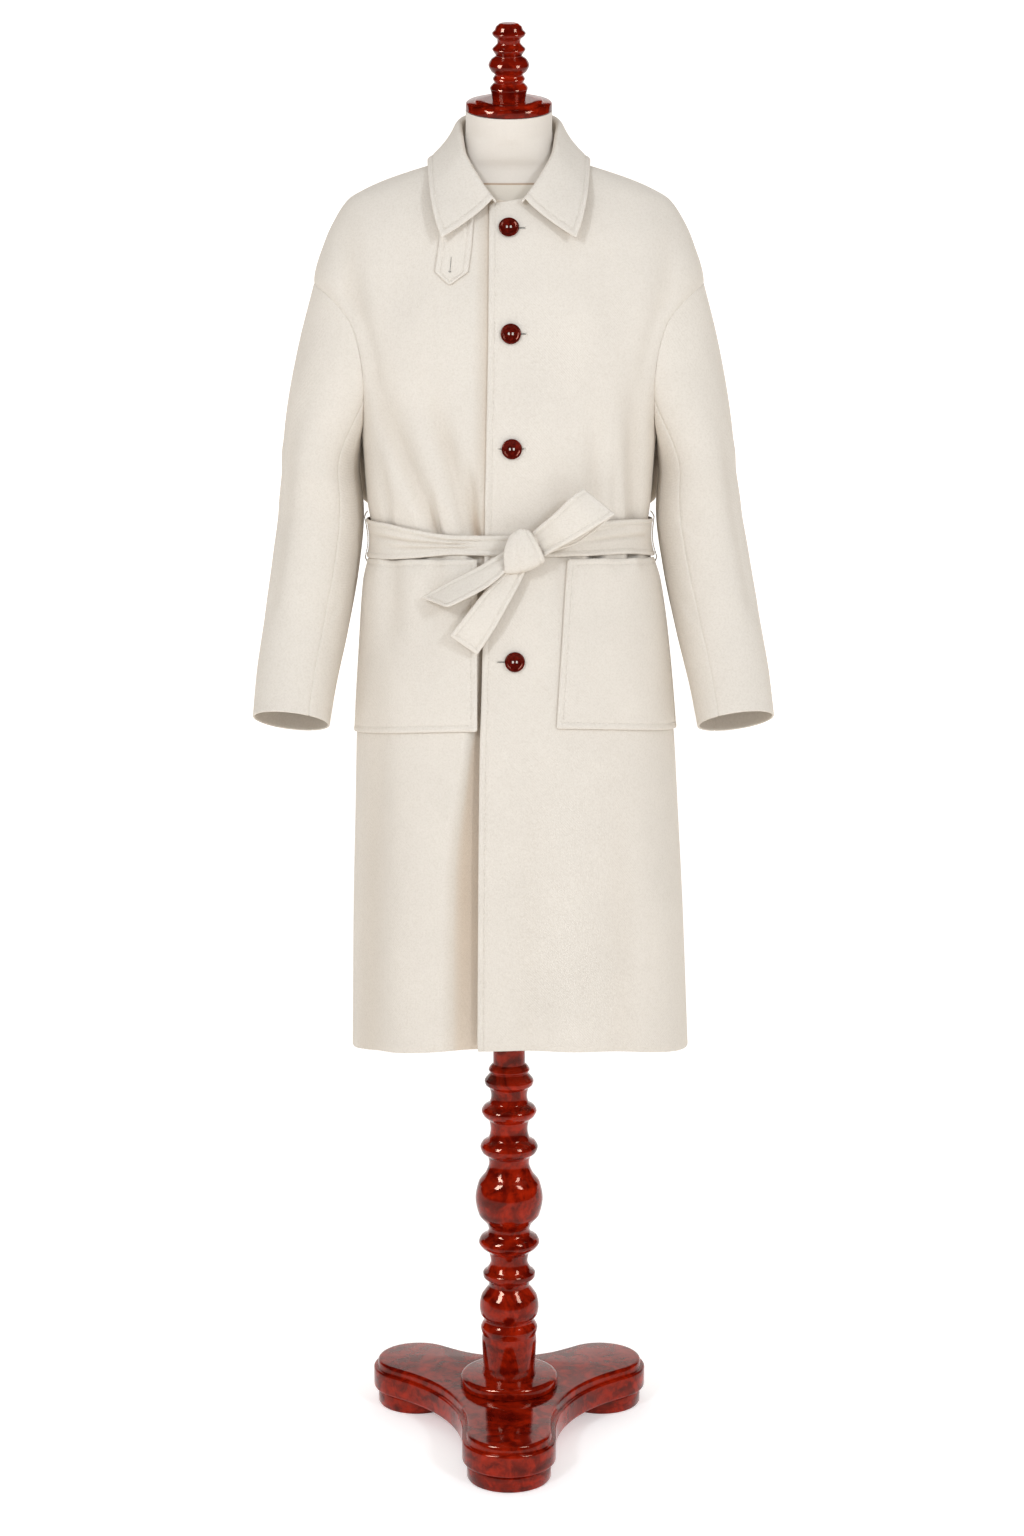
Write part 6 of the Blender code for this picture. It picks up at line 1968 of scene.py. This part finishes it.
class COAT_OT_stand(bpy.types.Operator):
    """Builds the turned post, the plinth, the tripod plate and the feet"""

    bl_idname = "coat.stand"
    bl_label = "Stand"

    def execute(self, context):
        shaft_top = [(FORM_BOTTOM - SEAM, SHAFT_RADIUS)]
        lacquered("stand_turned_post", "stand_post", fine_profile(POST_PROFILE, 0.0016) + shaft_top, 88)
        lacquered("stand_round_plinth", "stand_plinth", PLINTH_PROFILE, 112)
        plate, lacquer = plate_mesh("stand_tripod_plate"), lacquer_material(context.scene.coat_finishes)
        add_piece("stand_tripod_plate", plate, lacquer, "lacquer", "stand_base")
        for i, angle in enumerate(LEG_ANGLES, 1):
            turn = radians(angle)
            reach = Matrix.Translation(Vector((cos(turn), sin(turn), 0)) * LEG_REACH)
            lacquered(f"stand_round_foot_{i}", f"stand_foot_{i}", FOOT_PROFILE, 96, reach)
        return {"FINISHED"}


class COAT_OT_stage(bpy.types.Operator):
    """Lays the pale floor and backdrop and sets the softboxes and the camera"""

    bl_idname = "coat.stage"
    bl_label = "Stage"

    def execute(self, context):
        scene = context.scene
        stage = scene.coat_stage
        paper = floor_material(stage)
        turns = [i / RING_SIDES * 2 * pi for i in range(RING_SIDES)]
        ring = [(RING_RADIUS * cos(t), RING_RADIUS * sin(t), z) for z in (0, WALL) for t in turns]
        after = [(i + 1) % RING_SIDES for i in range(RING_SIDES)]
        walls = [(i, after[i], RING_SIDES + after[i], RING_SIDES + i) for i in range(RING_SIDES)]
        floor = ((-ROOM, -ROOM, 0), (ROOM, -ROOM, 0), (ROOM, ROOM, 0), (-ROOM, ROOM, 0))
        backdrop = ((-ROOM, ROOM, 0), (ROOM, ROOM, 0), (ROOM, ROOM, WALL), (-ROOM, ROOM, WALL))
        for name, corners, faces in (
            ("studio_floor", floor, [(0, 1, 2, 3)]),
            ("studio_backdrop", backdrop, [(0, 1, 2, 3)]),
            ("studio_ring", ring, walls),
        ):
            mesh = bpy.data.meshes.new(name)
            mesh.from_pydata(corners, [], faces)
            sheet = bpy.data.objects.new(name, mesh)
            mesh.materials.append(paper)
            scene.collection.objects.link(sheet)
        # The ring is only a white background for the other views, so it throws no light or shade
        sheet.visible_diffuse = sheet.visible_glossy = sheet.visible_shadow = False
        scene.world = world = bpy.data.worlds.new("studio_surround")
        world.use_nodes = True
        surround = world.node_tree.nodes["Background"]
        surround.inputs["Color"].default_value = SURROUND_COLOUR
        surround.inputs["Strength"].default_value = stage.surround
        world.cycles_visibility.glossy = False
        for name, place, size, power, share, shine in LAMPS:
            light = bpy.data.lights.new(name, "AREA")
            light.shape = "RECTANGLE"
            light.size, light.size_y = size
            light.energy = getattr(stage, power) * share
            light.color = SHINE_COLOUR if shine else SOFT_COLOUR
            lamp = bpy.data.objects.new(name, light)
            lamp.location = place
            aim = Vector((0, 0, SHINE_AIM if shine else SOFT_AIM))
            lamp.rotation_euler = (aim - Vector(place)).to_track_quat("-Z", "Y").to_euler()
            lamp.visible_camera = False
            lamp.visible_diffuse = not shine
            lamp.visible_glossy = shine
            scene.collection.objects.link(lamp)
        lens = bpy.data.cameras.new("photo_camera")
        lens.sensor_width, lens.lens = SENSOR, FOCAL_PIXELS / FRAME_PIXELS * SENSOR
        camera = bpy.data.objects.new("photo_camera", lens)
        camera.location = CAMERA_PLACE
        camera.rotation_euler = (radians(90) - CAMERA_DIP, 0, 0)
        scene.collection.objects.link(camera)
        scene.camera = camera
        scene.view_settings.view_transform = "Standard"
        return {"FINISHED"}


GROUPS = {"coat_sizes": CoatSizes, "coat_finishes": CoatFinishes, "coat_stage": CoatStage}
STEPS = (
    COAT_OT_panels, COAT_OT_sleeves, COAT_OT_collar, COAT_OT_pockets, COAT_OT_belt, COAT_OT_buttons,
    COAT_OT_form, COAT_OT_stand, COAT_OT_stage,
)


class COAT_PT_build(bpy.types.Panel):
    """Lists the coat's sizes, colours and building steps"""

    bl_idname = "COAT_PT_build"
    bl_label = "Coat"
    bl_space_type = "VIEW_3D"
    bl_region_type = "UI"
    bl_category = "Coat"

    def draw(self, context):
        for name, group in GROUPS.items():
            box = self.layout.box()
            for key in group.__annotations__:
                box.prop(getattr(context.scene, name), key)
        for step in STEPS:
            self.layout.operator(step.bl_idname)


CLASSES = (*GROUPS.values(), *STEPS, COAT_PT_build)


def register():
    for each in CLASSES:
        bpy.utils.register_class(each)
    for name, group in GROUPS.items():
        setattr(bpy.types.Scene, name, bpy.props.PointerProperty(type=group))


def unregister():
    for name in GROUPS:
        delattr(bpy.types.Scene, name)
    for each in reversed(CLASSES):
        bpy.utils.unregister_class(each)


def main():
    register()
    for step in STEPS:
        group, action = step.bl_idname.split(".")
        getattr(getattr(bpy.ops, group), action)()


if __name__ == "__main__":
    main()
